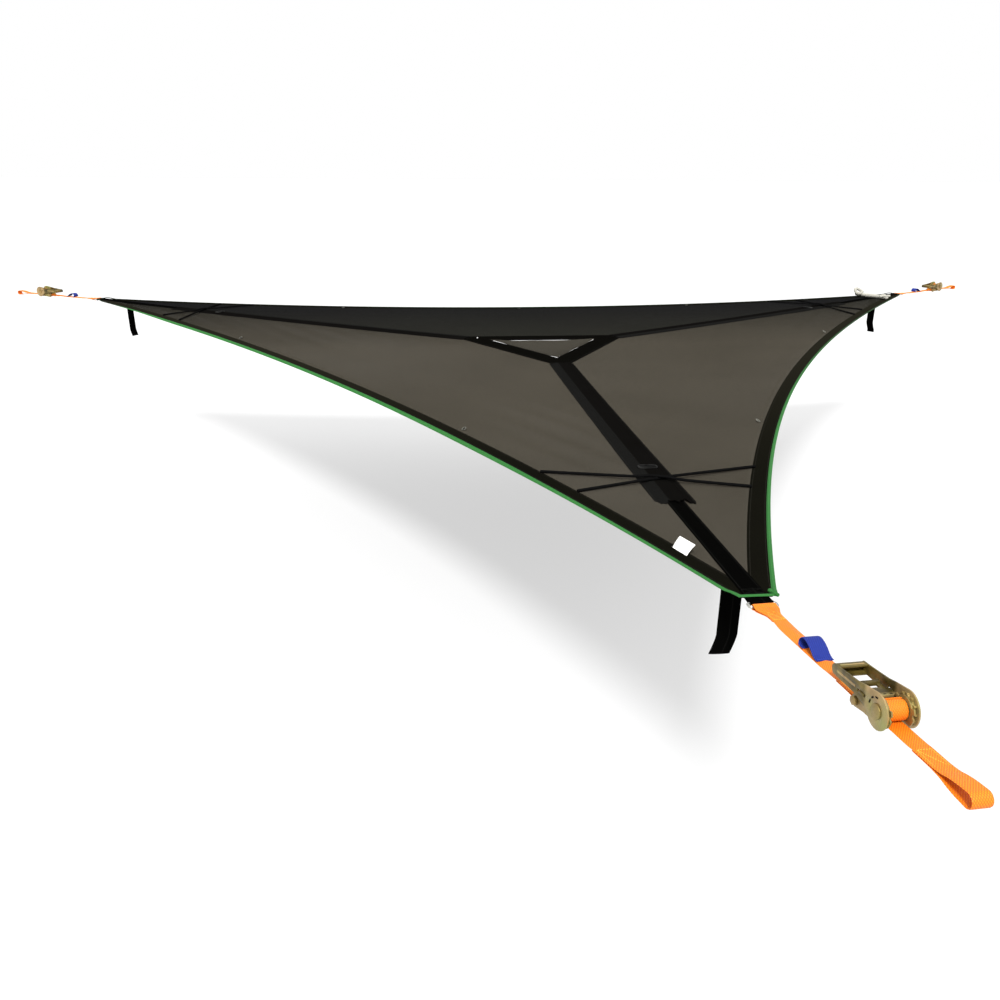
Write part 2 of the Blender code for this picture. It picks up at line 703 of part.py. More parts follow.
def build_corner_rings():
    """A rectangular steel ring at each corner, and the black webbing loop that holds it."""
    bar_radius = RING_WIRE / 2
    half = RING_INNER_WIDTH / 2 + bar_radius
    bend = RING_BEND
    points = []
    for sx, sy, start in ((1, 1, 0.0), (-1, 1, 90.0), (-1, -1, 180.0), (1, -1, 270.0)):
        centre = (
            (RING_INNER_BAR + RING_OUTER_BAR) / 2 + sx * (RING_BAR_SPACING / 2 - bend),
            sy * (half - bend),
        )
        points += [(x, y, 0.0) for x, y in arc(bend, start, start + 90.0, 3, centre)]
    ring = tube_mesh("corner_ring", points, RING_WIRE, cyclic=True)
    bore = bar_radius + GAP
    outer = bore + WEB_THICK
    over = STRAP_BOTTOM
    shoulder = CORNER_RADIUS - STRAP_SHOULDER
    back = CORNER_RADIUS - LOOP_TAIL
    top_start = dish(shoulder, 0.0) + STRAP_BOTTOM
    low_start = dish(back, 0.0) - STRAP_BOTTOM
    ramp = CORNER_RADIUS - BINDING_WIDTH - 2 * GAP
    base = CORNER_RADIUS - 0.020
    bar = (RING_INNER_BAR, 0.0)
    outline = [
        (shoulder, top_start + WEB_THICK),
        (shoulder, top_start),
        (base, dish(base, 0.0) + STRAP_BOTTOM),
        (ramp, over),
        (RING_INNER_BAR - bore * 1.6, over + 0.0004),
    ]
    outline += arc(bore, 140.0, -140.0, 14, bar)
    outline += [
        (RING_INNER_BAR - bore * 1.6, -over - 0.0004),
        (ramp, -over),
        (base, dish(base, 0.0) - STRAP_BOTTOM),
        (back, low_start),
        (back, low_start - WEB_THICK),
        (base, dish(base, 0.0) - STRAP_BOTTOM - WEB_THICK),
        (ramp, -over - WEB_THICK),
        (RING_INNER_BAR - 2 * bore, -over - WEB_THICK),
    ]
    outline += arc(outer, -110.0, 110.0, 12, bar)
    outline += [
        (RING_INNER_BAR - 2 * bore, over + WEB_THICK),
        (ramp, over + WEB_THICK),
        (base, dish(base, 0.0) + STRAP_BOTTOM + WEB_THICK),
    ]
    loop = side_plate("corner_loop", outline, 0.0, BODY_WEB_WIDTH)
    for corner_name in CORNER_ANGLES:
        frame = CORNER_FRAMES[corner_name]
        part_object(f"corner_ring_{corner_name}", ring, "bright_steel", frame)
        part_object(f"corner_loop_{corner_name}", loop, "webbing_black", frame)


def strap_outline():
    """Side view of a ratchet strap: a sewn loop at each end, doubled where it is sewn."""
    thin, thick = WEB_THICK / 2, WEB_THICK
    ring_outer = RING_WIRE / 2 + RING_PLAY + WEB_THICK
    bolt_outer = BOLT_RADIUS + GAP + WEB_THICK
    end = STRAP_TO_BOLT
    peak = TAB_START + TAB_LENGTH * TAB_PEAK
    stop = TAB_START + TAB_LENGTH
    outline = arc(ring_outer, 40.0, 320.0, 14)
    outline += [
        (STRAP_SEWN, -thick),
        (STRAP_SEWN + 0.002, -thin),
        (end - STRAP_SEWN - 0.002, -thin),
        (end - STRAP_SEWN, -thick),
    ]
    outline += arc(bolt_outer, 215.0, 505.0, 16, (end, 0.0))
    outline += [(end - STRAP_SEWN, thick), (end - STRAP_SEWN - 0.002, thin), (stop, thin)]
    outline += [
        (stop, thin + WEB_THICK),
        (peak + 0.018, TAB_HEIGHT * 0.80),
        (peak + 0.006, TAB_HEIGHT * 0.985),
        (peak, TAB_HEIGHT),
        (peak - 0.006, TAB_HEIGHT * 0.97),
        (TAB_START + 0.0035, TAB_HEIGHT * 0.66),
        (TAB_START, thin),
        (STRAP_SEWN + 0.002, thin),
        (STRAP_SEWN, thick),
    ]
    tab_hole = [
        (TAB_START + 0.0030, thin + 0.0008),
        (stop - 0.0050, thin + 0.0008),
        (peak + 0.0170, TAB_HEIGHT * 0.80 - WEB_THICK),
        (peak + 0.0050, TAB_HEIGHT * 0.985 - WEB_THICK),
        (peak, TAB_HEIGHT - WEB_THICK),
        (peak - 0.0050, TAB_HEIGHT * 0.97 - WEB_THICK),
        (TAB_START + 0.0058, TAB_HEIGHT * 0.60),
    ]
    holes = [
        arc(RING_WIRE / 2 + RING_PLAY, 0.0, 342.0, 19),
        arc(BOLT_RADIUS + GAP, 0.0, 342.0, 19, (end, 0.0)),
        tab_hole,
    ]
    return outline, holes


def build_fixed_straps():
    outline, holes = strap_outline()
    mesh = side_plate("fixed_strap", outline, 0.0, STRAP_WIDTH, holes)
    for corner_name in CORNER_ANGLES:
        frame = STRAP_FRAMES[corner_name]
        part_object(f"fixed_strap_{corner_name}", mesh, "webbing_orange", frame)


def wheel_outline():
    """A ratchet wheel: each tooth slopes up on one side and drops straight on the other."""
    pitch = 360.0 / TEETH
    outline = []
    for tooth in range(TEETH):
        middle = tooth * pitch
        outline += arc(TOOTH_ROOT, middle - pitch * 0.75, middle - pitch * 0.25, 2)
        outline += arc(TOOTH_TIP, middle, middle + pitch * 0.25, 1)
    return outline


def cam_outline():
    """The base plate's round end: low where the pawl works, with a notch at each stop."""
    first, last = NOTCH_ANGLES
    opened_first, opened_last = first - HANDLE_OPEN, last - HANDLE_OPEN
    outline = arc(CAM_LOW, 262.0, 360.0 + opened_first - 3.0, 8)
    outline += arc(CAM_NOTCH, 360.0 + opened_first, 360.0 + opened_last, 2)
    outline += arc(CAM_CROWN, 360.0 + opened_last, 385.0, 2)
    outline += arc(CAM_WORK, 389.0, 501.0, 8)
    outline += arc(CAM_CROWN, 505.0, 360.0 + first, 2)
    outline += arc(CAM_NOTCH, 360.0 + first, 360.0 + last, 2)
    outline += arc(CAM_CROWN, 360.0 + last, 536.0, 1)
    return outline


def base_frame_mesh():
    """Two side plates joined by the floor: holes for spool and bolt, slots for the lock pawl."""
    bolt = (-BOLT_TO_SPOOL, -STRAP_DROP)
    outline = cam_outline()
    outline += [(-0.036, BASE_TOP), (-0.048, -0.0050)]
    outline += arc(BASE_LOBE, 80.0, 270.0, 9, bolt)
    outline += [(-0.036, -0.0215)]
    slot_end = LOCK_TIP + LOCK_EAR + LOCK_TRAVEL + 2 * GAP
    holes = [
        arc(SHAFT_RADIUS + HOLE_CLEARANCE, 0.0, 342.0, 19),
        arc(BOLT_RADIUS + GAP, 0.0, 337.5, 15, bolt),
        rectangle(
            -slot_end,
            -LOCK_TIP + 2 * GAP,
            -PAWL_OFFSET - PAWL_THICK / 2 - GAP,
            -PAWL_OFFSET + PAWL_THICK / 2 + GAP,
        ),
    ]
    middle = (BASE_INNER + BASE_OUTER) / 2
    plates = [
        side_plate("base_plate", outline, side * middle, PLATE_THICK, holes) for side in (1, -1)
    ]
    lap = BASE_INNER + PLATE_THICK / 2
    floor = box_mesh(
        "base_floor",
        (BASE_FLOOR[0], -lap, -BASE_FLOOR_DEPTH),
        (BASE_FLOOR[1], lap, -BASE_FLOOR_DEPTH + PLATE_THICK),
    )
    return combined("ratchet_frame", plates[0], unions=[floor, plates[1]])


def handle_mesh():
    """Two side plates, and the rolled grip across their ends."""
    grip_top = GRIP_CENTRE + GRIP_HEIGHT / 2
    grip_low = GRIP_CENTRE - GRIP_HEIGHT / 2
    outline = arc(HANDLE_DISC, 205.0, 455.0, 20)
    outline += [
        (-0.030, 0.0195),
        (-0.046, 0.0165),
        (-0.083, grip_top + 0.0010),
        (-HANDLE_LENGTH + 0.004, grip_top - 0.0002),
        (-HANDLE_LENGTH + 0.001, grip_top - 0.0032),
        (-HANDLE_LENGTH + 0.001, grip_low + 0.0032),
        (-HANDLE_LENGTH + 0.004, grip_low + 0.0002),
        (-0.084, -0.0020),
        (-0.050, -0.0025),
        (-0.036, -0.0055),
    ]
    ear_back = EAR_START + EAR_LENGTH + DRIVE_PULL + GAP
    ear_front = EAR_START - DRIVE_SEAT - GAP
    holes = [
        arc(SHAFT_RADIUS + HOLE_CLEARANCE, 0.0, 342.0, 19),
        rectangle(
            -ear_back,
            -ear_front,
            PAWL_OFFSET - PAWL_THICK / 2 - GAP,
            PAWL_OFFSET + PAWL_THICK / 2 + GAP,
        ),
    ]
    middle = (HANDLE_INNER + HANDLE_OUTER) / 2
    plates = [
        side_plate("handle_plate", outline, side * middle, PLATE_THICK, holes)
        for side in (1, -1)
    ]
    bend = GRIP_HEIGHT / 2
    grip_outline = arc(bend, 90.0, 270.0, 8, (-HANDLE_LENGTH + bend, GRIP_CENTRE))
    grip_outline += [
        (-HANDLE_LENGTH + GRIP_LENGTH, GRIP_CENTRE - bend),
        (-HANDLE_LENGTH + GRIP_LENGTH, GRIP_CENTRE - bend + PLATE_THICK),
        (-HANDLE_LENGTH + bend, GRIP_CENTRE - bend + PLATE_THICK),
    ]
    grip_outline += arc(
        bend - PLATE_THICK, 240.0, 120.0, 6, (-HANDLE_LENGTH + bend, GRIP_CENTRE)
    )
    grip_outline += [
        (-HANDLE_LENGTH + bend, GRIP_CENTRE + bend - PLATE_THICK),
        (-HANDLE_LENGTH + GRIP_LENGTH, GRIP_CENTRE + bend - PLATE_THICK),
        (-HANDLE_LENGTH + GRIP_LENGTH, GRIP_CENTRE + bend),
    ]
    grip = side_plate("handle_grip", grip_outline, 0.0, 2 * HANDLE_OUTER)
    return combined("ratchet_handle", plates[0], unions=[grip, plates[1]])


def spool_mesh():
    """The slotted shaft with a toothed wheel outside each base plate and a cap at each end."""
    reach = HANDLE_OUTER + GAP + SHAFT_CAP_THICK
    shaft = cylinder_mesh("spool_shaft", SHAFT_RADIUS, -reach, reach)
    wheels = [
        side_plate("wheel", wheel_outline(), side * (WHEEL_INNER + WHEEL_OUTER) / 2, WHEEL_THICK)
        for side in (1, -1)
    ]
    caps = [
        cylinder_mesh("cap_right", SHAFT_CAP_RADIUS, HANDLE_OUTER + GAP, reach),
        cylinder_mesh("cap_left", SHAFT_CAP_RADIUS, -reach, -HANDLE_OUTER - GAP),
    ]
    wide = SHAFT_RADIUS * 2
    slot = box_mesh(
        "spool_slot",
        (-wide, -BASE_INNER + GAP, -SHAFT_SLOT / 2),
        (wide, BASE_INNER - GAP, SHAFT_SLOT / 2),
    )
    return combined("ratchet_spool", shaft, unions=[*wheels, *caps], cuts=[slot])


def drive_pawl_mesh():
    """The finger pull: its edge spans both wheels, its ears run in the handle's slots."""
    tip, tail = -DRIVE_TIP, -DRIVE_TIP - DRIVE_LENGTH
    front = WHEEL_OUTER
    ear = HANDLE_OUTER + 0.0014
    neck = BASE_INNER
    ears = (-EAR_START, -EAR_START - EAR_LENGTH)
    outline = [
        (tip, -front),
        (tip, front),
        (ears[0], front),
        (ears[0], ear),
        (ears[1], ear),
        (ears[1], neck),
        (tail, neck),
        (tail, -neck),
        (ears[1], -neck),
        (ears[1], -ear),
        (ears[0], -ear),
        (ears[0], -front),
    ]
    window = rectangle(tail + 0.0075, ears[1] - 0.0035, -0.0085, 0.0085)
    place = Matrix.Translation((0.0, 0.0, PAWL_OFFSET))
    plate = outline_mesh("drive_plate", outline, PAWL_THICK, [window], place)
    bar = cylinder_mesh("pull_bar", 0.0036, -neck, neck, (tail + 0.0036, PAWL_OFFSET + 0.001))
    return combined("drive_pawl", plate, unions=[bar])


def lock_pawl_mesh():
    """The lock plate: it slides in the base plates' slots and drops between the wheel teeth."""
    tip, tail = -LOCK_TIP, -LOCK_TIP - LOCK_LENGTH
    shoulder = tip - LOCK_EAR
    inner = BASE_INNER - 2 * GAP
    outline = [
        (tip, -WHEEL_OUTER),
        (tip, WHEEL_OUTER),
        (shoulder, WHEEL_OUTER),
        (shoulder, inner),
        (tail, inner),
        (tail, -inner),
        (shoulder, -inner),
        (shoulder, -WHEEL_OUTER),
    ]
    place = Matrix.Translation((0.0, 0.0, -PAWL_OFFSET))
    return outline_mesh("lock_pawl", outline, PAWL_THICK, (), place)


def bolt_mesh():
    centre = (-BOLT_TO_SPOOL, -STRAP_DROP)
    reach = BASE_OUTER + GAP + BOLT_HEAD_THICK
    shank = cylinder_mesh("bolt_shank", BOLT_RADIUS, -reach, reach, centre, 20)
    heads = [
        cylinder_mesh("bolt_head", BOLT_HEAD_RADIUS, BASE_OUTER + GAP, reach, centre, 16),
        cylinder_mesh("bolt_nut", BOLT_HEAD_RADIUS, -reach, -BASE_OUTER - GAP, centre, 6),
    ]
    return combined("anchor_bolt", shank, unions=heads)


def tail_mesh():
    """The strap that goes on to the tree: off the coil's underside to a sewn eye."""
    thin = WEB_THICK / 2
    thick = WEB_THICK
    start = 0.0005
    sewn = TAIL_STRAIGHT - 0.050
    eye = TAIL_STRAIGHT
    end = eye + EYE_LENGTH
    half = EYE_HEIGHT / 2
    outline = [
        (start, -thin),
        (sewn - 0.002, -thin),
        (sewn, -thick),
        (eye, -thick),
        (eye + EYE_LENGTH * 0.35, -half * 0.72),
    ]
    outline += arc(half, 250.0, 470.0, 12, (end - half, 0.0))
    outline += [
        (eye + EYE_LENGTH * 0.35, half * 0.72),
        (eye, thick),
        (sewn, thick),
        (sewn - 0.002, thin),
        (start, thin),
    ]
    inner = half - WEB_THICK
    hole = [(eye + 0.006, 0.0), (eye + EYE_LENGTH * 0.36, -half * 0.72 + WEB_THICK)]
    hole += arc(inner, 255.0, 465.0, 12, (end - half, 0.0))
    hole += [(eye + EYE_LENGTH * 0.36, half * 0.72 - WEB_THICK)]
    return side_plate("tree_strap", outline, 0.0, STRAP_WIDTH, [hole])


def build_ratchets():
    """One buckle per corner. The spool's axis is the origin of the handle and the spool."""
    coil = side_plate(
        "wound_webbing",
        arc(COIL_RADIUS, 0.0, 345.0, 23),
        0.0,
        STRAP_WIDTH,
        [arc(SHAFT_RADIUS + GAP, 0.0, 342.0, 19)],
    )
    pieces = {
        "ratchet_frame": (base_frame_mesh(), "zinc_steel"),
        "anchor_bolt": (bolt_mesh(), "bright_steel"),
        "ratchet_handle": (handle_mesh(), "zinc_steel"),
        "ratchet_spool": (spool_mesh(), "zinc_steel"),
        "drive_pawl": (drive_pawl_mesh(), "zinc_steel"),
        "lock_pawl": (lock_pawl_mesh(), "zinc_steel"),
        "wound_webbing": (coil, "webbing_orange"),
    }
    tail = tail_mesh()
    for corner_name in CORNER_ANGLES:
        frame = RATCHET_FRAMES[corner_name]
        for name, (mesh, finish) in pieces.items():
            part_object(f"{name}_{corner_name}", mesh, finish, frame)
        item = part_object(f"tree_strap_{corner_name}", tail, "webbing_orange", frame)
        item.location = (0.0, 0.0, -STRAP_DROP)


clear_scene()
PARTS = new_collection("triangle_hammock")
CUTTERS = new_collection("cutters")
CORNER_FRAMES, STRAP_FRAMES, RATCHET_FRAMES = {}, {}, {}
for corner, corner_angle in CORNER_ANGLES.items():
    CORNER_FRAMES[corner] = anchor_empty(f"corner_{corner}", corner_angle)
    STRAP_FRAMES[corner] = anchor_empty(
        f"strap_{corner}",
        STRAP_SWING[corner],
        (RING_OUTER_BAR, 0.0, 0.0),
        CORNER_FRAMES[corner],
    )
    STRAP_FRAMES[corner].rotation_euler[1] = -math.radians(STRAP_RISE[corner])
    RATCHET_FRAMES[corner] = anchor_empty(
        f"spool_axis_{corner}", 0.0, (SPOOL_DISTANCE, 0.0, STRAP_DROP), STRAP_FRAMES[corner]
    )
build_panels()
build_hems()
build_binding()
build_straps()
build_gear_cords()
build_hatch()
build_corner_trim()
build_corner_rings()
build_fixed_straps()
build_ratchets()
bpy.context.view_layer.update()
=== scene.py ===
"""Studio scene of the triangle hammock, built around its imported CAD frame.

Metres, +Z up, in the CAD's own frame. The fabric follows one shallow dish, and every sewn layer is a
closed surface at its own height above or below that dish. A surface is a grid of rings: each ring is a
closed profile at one station, and the stations run along the piece. The same grid carries two texture
coordinates in metres, across and along, so that weave, stitching and edge wear have their real size.
"""

import logging
import math
from collections.abc import Callable, Sequence
from dataclasses import dataclass, field, replace
from enum import Enum

import bmesh
import bpy
import numpy as np
from mathutils import Matrix, Vector

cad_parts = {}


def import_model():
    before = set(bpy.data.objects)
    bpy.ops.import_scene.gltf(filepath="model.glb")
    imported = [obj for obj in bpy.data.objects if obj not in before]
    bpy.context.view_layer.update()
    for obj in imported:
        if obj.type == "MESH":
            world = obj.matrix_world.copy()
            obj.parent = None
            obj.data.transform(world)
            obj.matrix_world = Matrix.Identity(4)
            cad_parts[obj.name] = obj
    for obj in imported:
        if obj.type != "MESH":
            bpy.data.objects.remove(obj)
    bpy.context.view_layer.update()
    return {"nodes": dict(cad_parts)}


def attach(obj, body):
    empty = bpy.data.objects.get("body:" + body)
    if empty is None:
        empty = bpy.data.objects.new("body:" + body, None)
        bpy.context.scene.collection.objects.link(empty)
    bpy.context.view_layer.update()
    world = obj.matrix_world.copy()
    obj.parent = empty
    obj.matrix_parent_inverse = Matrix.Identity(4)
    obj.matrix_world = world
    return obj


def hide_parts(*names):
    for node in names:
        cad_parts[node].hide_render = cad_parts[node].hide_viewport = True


log = logging.getLogger("triangle_hammock")

Array = np.ndarray
Colour = tuple[float, float, float, float]
Place = Callable[[Array], Array]
Relief = Callable[..., Array]
Sockets = dict[str, bpy.types.NodeSocket]

ROOT = "hammock"
UP = (0.0, 0.0, 1.0)


class Corner(Enum):
    """The three corners; a value ends the names of that corner's pieces."""

    NEAR = "near"
    RIGHT = "right"
    LEFT = "left"


class Edge(Enum):
    """The three edges; a value ends the names of that edge's pieces."""

    RIGHT = "right"
    FAR = "far"
    LEFT = "left"


# Directions in degrees: corners, edges' middles, and how a strap leaves its corner sideways and upwards
ANGLE = {Corner.NEAR: -90.0, Corner.RIGHT: 30.0, Corner.LEFT: 150.0}
OUTWARD = {Edge.RIGHT: -30.0, Edge.FAR: 90.0, Edge.LEFT: 210.0}
SWING = {Corner.NEAR: 3.7, Corner.RIGHT: 0.0, Corner.LEFT: 0.0}
RISE = {Corner.NEAR: 3.6, Corner.RIGHT: 0.0, Corner.LEFT: 0.0}
ENDS = {
    Edge.RIGHT: (Corner.NEAR, Corner.RIGHT),
    Edge.FAR: (Corner.RIGHT, Corner.LEFT),
    Edge.LEFT: (Corner.LEFT, Corner.NEAR),
}

# Plan and layers, as in the CAD
CORNER_RADIUS = 2.30
CORNER_END = 0.064
EDGE_CURVE = 0.207
SAG = 0.031
GAP = 0.0003
BINDING = 0.0085
BINDING_THICK = 0.0034
BINDING_LIFT = 0.0049
HEM_OUTER = BINDING - 0.0012
HEM_INNER = BINDING + GAP + 0.036
HEM_THICK = 0.0016
PANEL_INSET = HEM_INNER - 0.0012
PANEL_THICK = 0.0010
SEAM_GAP = 0.0008
WEB = 0.0018
BODY_WEB = 0.038
STRAP_BOTTOM = HEM_THICK / 2 + GAP
STRAP_TOP = STRAP_BOTTOM + WEB
SLEEVE_WIDTH = 0.085
SLEEVE_TOP = STRAP_TOP + GAP + 0.0014
SLEEVE_MOUTH = 1.84
LOOP_LAP = 0.038
HATCH_RADIUS = 0.245
HATCH_IN = HATCH_RADIUS / 2
HATCH_BAND = 0.080
HATCH_CUT = 0.345
HATCH_THICK = 0.0024
RING_WIRE = 0.0025
RING_BAR = 2.314
RING_SPACING = 0.012
PIVOT = RING_BAR + RING_SPACING
PLY = 0.0009
STRAP_WIDTH = 0.025
STRAP_THICK = 0.0016
BOLT = 0.300
SPOOL = BOLT + 0.056
STRAP_DROP = 0.0145 + WEB / 2 + GAP


def srgb(code: str) -> Colour:
    """Linear colour of a hex code: each channel goes through the sRGB curve.

    Args:
        code: six hexadecimal digits.

    Returns:
        Red, green, blue and an alpha of one.
    """
    values = np.array([int(code[i : i + 2], 16) for i in (0, 2, 4)]) / 255.0
    linear = np.where(values <= 0.04045, values / 12.92, ((values + 0.055) / 1.055) ** 2.4)
    red, green, blue = linear.tolist()
    return (red, green, blue, 1.0)


def dish(x: float | Array, y: float | Array) -> float | Array:
    """Height of the fabric's middle: z = -sag (1 - (x^2 + y^2) / R^2)."""
    return -SAG * (1.0 - (x * x + y * y) / CORNER_RADIUS**2)


def ease(low: float, high: float, value: float | Array) -> Array:
    """Smooth step from 0 at low to 1 at high."""
    t = np.clip((np.asarray(value, float) - low) / (high - low), 0.0, 1.0)
    return t * t * (3.0 - 2.0 * t)


def spatial(x: float | Array, y: float | Array, z: float | Array) -> Array:
    """Points in space from three coordinates, each a number or an array."""
    return np.stack(np.broadcast_arrays(x, y, z), axis=-1)


def raised(plan: Array, height: float | Array) -> Array:
    """Plan points lifted to their heights, one for all or one per point."""
    return np.concatenate([plan, np.broadcast_to(height, plan.shape[:-1])[..., None]], axis=-1)


def polar(angle: float, radial: float | Array, tangential: float | Array = 0.0) -> Array:
    """Plan points from a corner's frame.

    Args:
        angle: direction of the corner in degrees.
        radial: distance outwards from the centre.
        tangential: distance to the corner's left when seen from outside.

    Returns:
        Array whose last axis is x and y.
    """
    a = math.radians(angle)
    radial, tangential = np.broadcast_arrays(np.asarray(radial, float), tangential)
    x = radial * math.cos(a) - tangential * math.sin(a)
    y = radial * math.sin(a) + tangential * math.cos(a)
    return np.stack([x, y], axis=-1)


def end_angles(edge: Edge) -> tuple[float, float]:
    """Directions of an edge's two corners, in degrees."""
    first, last = ENDS[edge]
    return ANGLE[first], ANGLE[last]


def edge_line(edge: Edge, shares: Sequence[float] | Array, inset: float | Array) -> Array:
    """Points of an edge curve: chord plus a parabola inwards, then moved in along its normal.

    Args:
        edge: the edge.
        shares: shares of the edge from its first corner to its last.
        inset: distance in from the outline, one for all or one per share.

    Returns:
        Array of plan points, one per share.
    """
    start, end = end_angles(edge)
    first = polar(start, CORNER_RADIUS, CORNER_END / 2)
    last = polar(end, CORNER_RADIUS, -CORNER_END / 2)
    chord = last - first
    inward = np.array([-chord[1], chord[0]]) / np.linalg.norm(chord)
    t = np.asarray(shares, float)[:, None]
    point = first + chord * t + inward * EDGE_CURVE * 4.0 * t * (1.0 - t)
    slope = chord + inward * EDGE_CURVE * 4.0 * (1.0 - 2.0 * t)
    normal = np.stack([-slope[:, 1], slope[:, 0]], axis=-1)
    normal /= np.linalg.norm(normal, axis=1, keepdims=True)
    return point + normal * np.broadcast_to(np.asarray(inset, float), (len(t),))[:, None]


def corner_half_width(inset: float) -> float:
    """Half the width of a corner's flat end once every side has moved in.

    Args:
        inset: how far each side has moved.

    Returns:
        The half width, from the angle between the end and the edges' tangents.
    """
    chord = math.sqrt(3.0) * CORNER_RADIUS - CORNER_END
    angle = math.radians(30.0) - math.atan(4.0 * EDGE_CURVE / chord)
    return CORNER_END / 2 + inset * math.tan(angle) - inset / math.cos(angle)


def bisector_share(edge: Edge, inset: float, clearance: float) -> float:
    """Share of an edge at which its inset curve leaves its first corner's bisector.

    Args:
        edge: the edge.
        inset: the curve's distance in from the outline.
        clearance: distance from the bisector that counts as left.

    Returns:
        The share, found on a fine row of shares near the corner.
    """
    angle = math.radians(end_angles(edge)[0])
    across = np.array([-math.sin(angle), math.cos(angle)])
    shares = np.linspace(0.0, 0.2, 4001)
    offset = edge_line(edge, shares, inset) @ across
    return float(shares[int(np.argmax(offset >= clearance))])


def arc_length(points: Array) -> Array:
    """Distance along a line of points, starting from zero."""
    steps = np.linalg.norm(np.diff(points, axis=0), axis=1)
    return np.concatenate([[0.0], np.cumsum(steps)])


def smoothed(points: Sequence[Sequence[float]] | Array, spacing: float, rounds: int = 3) -> Array:
    """A line with its corners cut a few times and its points spread evenly.

    Args:
        points: the control points, ends kept.
        spacing: distance between the points that come out.
        rounds: how many times each corner is cut.

    Returns:
        Array of points.
    """
    line = np.asarray(points, float)
    for _ in range(rounds):
        near = line[:-1] * 0.75 + line[1:] * 0.25
        far = line[:-1] * 0.25 + line[1:] * 0.75
        inner = np.stack([near, far], axis=1).reshape(-1, line.shape[1])
        line = np.concatenate([line[:1], inner, line[-1:]])
    length = arc_length(line)
    count = max(int(length[-1] / spacing), 3)
    places = np.linspace(0.0, length[-1], count + 1)
    columns = [np.interp(places, length, line[:, k]) for k in range(line.shape[1])]
    return np.stack(columns, axis=-1)


def side_arc(
    radius: float, start: float, end: float, steps: int, centre: tuple[float, float] = (0.0, 0.0)
) -> Array:
    """Points of an arc in the side view, x and z, angles in degrees from +X towards +Z."""
    angles = np.radians(np.linspace(start, end, steps + 1))
    return np.stack([centre[0] + radius * np.cos(angles), centre[1] + radius * np.sin(angles)], axis=-1)


@dataclass
class Shell:
    """Quads with their own texture coordinates, ready to become a mesh."""

    points: Array
    quads: Array
    uv: Array

    def oriented(self) -> "Shell":
        """The same shell with its faces pointing out, by the sign of its volume.

        Returns:
            This shell, or one whose faces run the other way round.
        """
        a, b, c, d = (self.points[self.quads[:, k]] for k in range(4))
        first = np.einsum("ij,ij->i", a, np.cross(b, c))
        second = np.einsum("ij,ij->i", a, np.cross(c, d))
        if (first + second).sum() >= 0.0:
            return self
        return Shell(self.points, self.quads[:, ::-1], self.uv[:, ::-1])

    def moved(self, place: Place) -> "Shell":
        """The same shell with its points put through a function."""
        return Shell(place(self.points), self.quads, self.uv)


def joined(shells: Sequence[Shell]) -> Shell:
    """Several shells as one."""
    offsets = np.cumsum([0] + [len(shell.points) for shell in shells[:-1]])
    return Shell(
        np.concatenate([shell.points for shell in shells]),
        np.concatenate([shell.quads + n for shell, n in zip(shells, offsets)]),
        np.concatenate([shell.uv for shell in shells]),
    )


def ringed(rings: Array, across: Array, along: Array, looped: bool = False) -> Shell:
    """The shell of a closed profile carried through its stations.

    Args:
        rings: stations by places by three; each ring closes on itself.
        across: texture coordinate of each place, with one more value than places.
        along: texture coordinate of each station, with one more value if looped.
        looped: whether the last station joins the first.

    Returns:
        A closed shell; its ends are strips between the ring's two halves.
    """
    stations, places = rings.shape[:2]
    spans = stations if looped else stations - 1
    i, j = np.meshgrid(np.arange(spans), np.arange(places), indexing="ij")
    corners = [(i, j), (i, j + 1), (i + 1, j + 1), (i + 1, j)]
    index = [(a % stations) * places + b % places for a, b in corners]
    quads = np.stack(index, axis=-1).reshape(-1, 4)
    u = np.broadcast_to(across, (stations + 1, places + 1))
    v = np.asarray(along, float)
    uv = [np.stack([u[a, b], v[a]], axis=-1) for a, b in corners]
    uv = np.stack(uv, axis=-2).reshape(-1, 4, 2)
    if not looped:
        half = np.arange(places // 2 - 1)
        strip = np.stack([half, half + 1, places - 2 - half, places - 1 - half], axis=-1)
        for station, turn in ((0, 1), (stations - 1, -1)):
            quads = np.concatenate([quads, (strip + station * places)[:, ::turn]])
            cap = np.stack([u[station][strip], np.full(strip.shape, v[station])], axis=-1)
            uv = np.concatenate([uv, cap[:, ::turn]])
    return Shell(rings.reshape(-1, 3), quads, uv).oriented()


def web_profile(rows: int, thickness: float, lip: float = 0.25) -> tuple[Array, Array]:
    """Flat profile of a tape, its height rounded off at both edges.

    Args:
        rows: strips across the tape.
        thickness: thickness of the tape.
        lip: share of the thickness that is left at the very edge.

    Returns:
        Arrays of the share across from -0.5 to 0.5 and the height, over the top and back underneath.
    """
    share = np.linspace(-0.5, 0.5, rows + 1)
    rim = np.clip((0.5 - np.abs(share)) * rows / 1.5, 0.0, 1.0)
    height = thickness / 2 * (lip + (1.0 - lip) * np.sqrt(1.0 - (1.0 - rim) ** 2))
    return np.concatenate([share, share[::-1]]), np.concatenate([height, -height[::-1]])


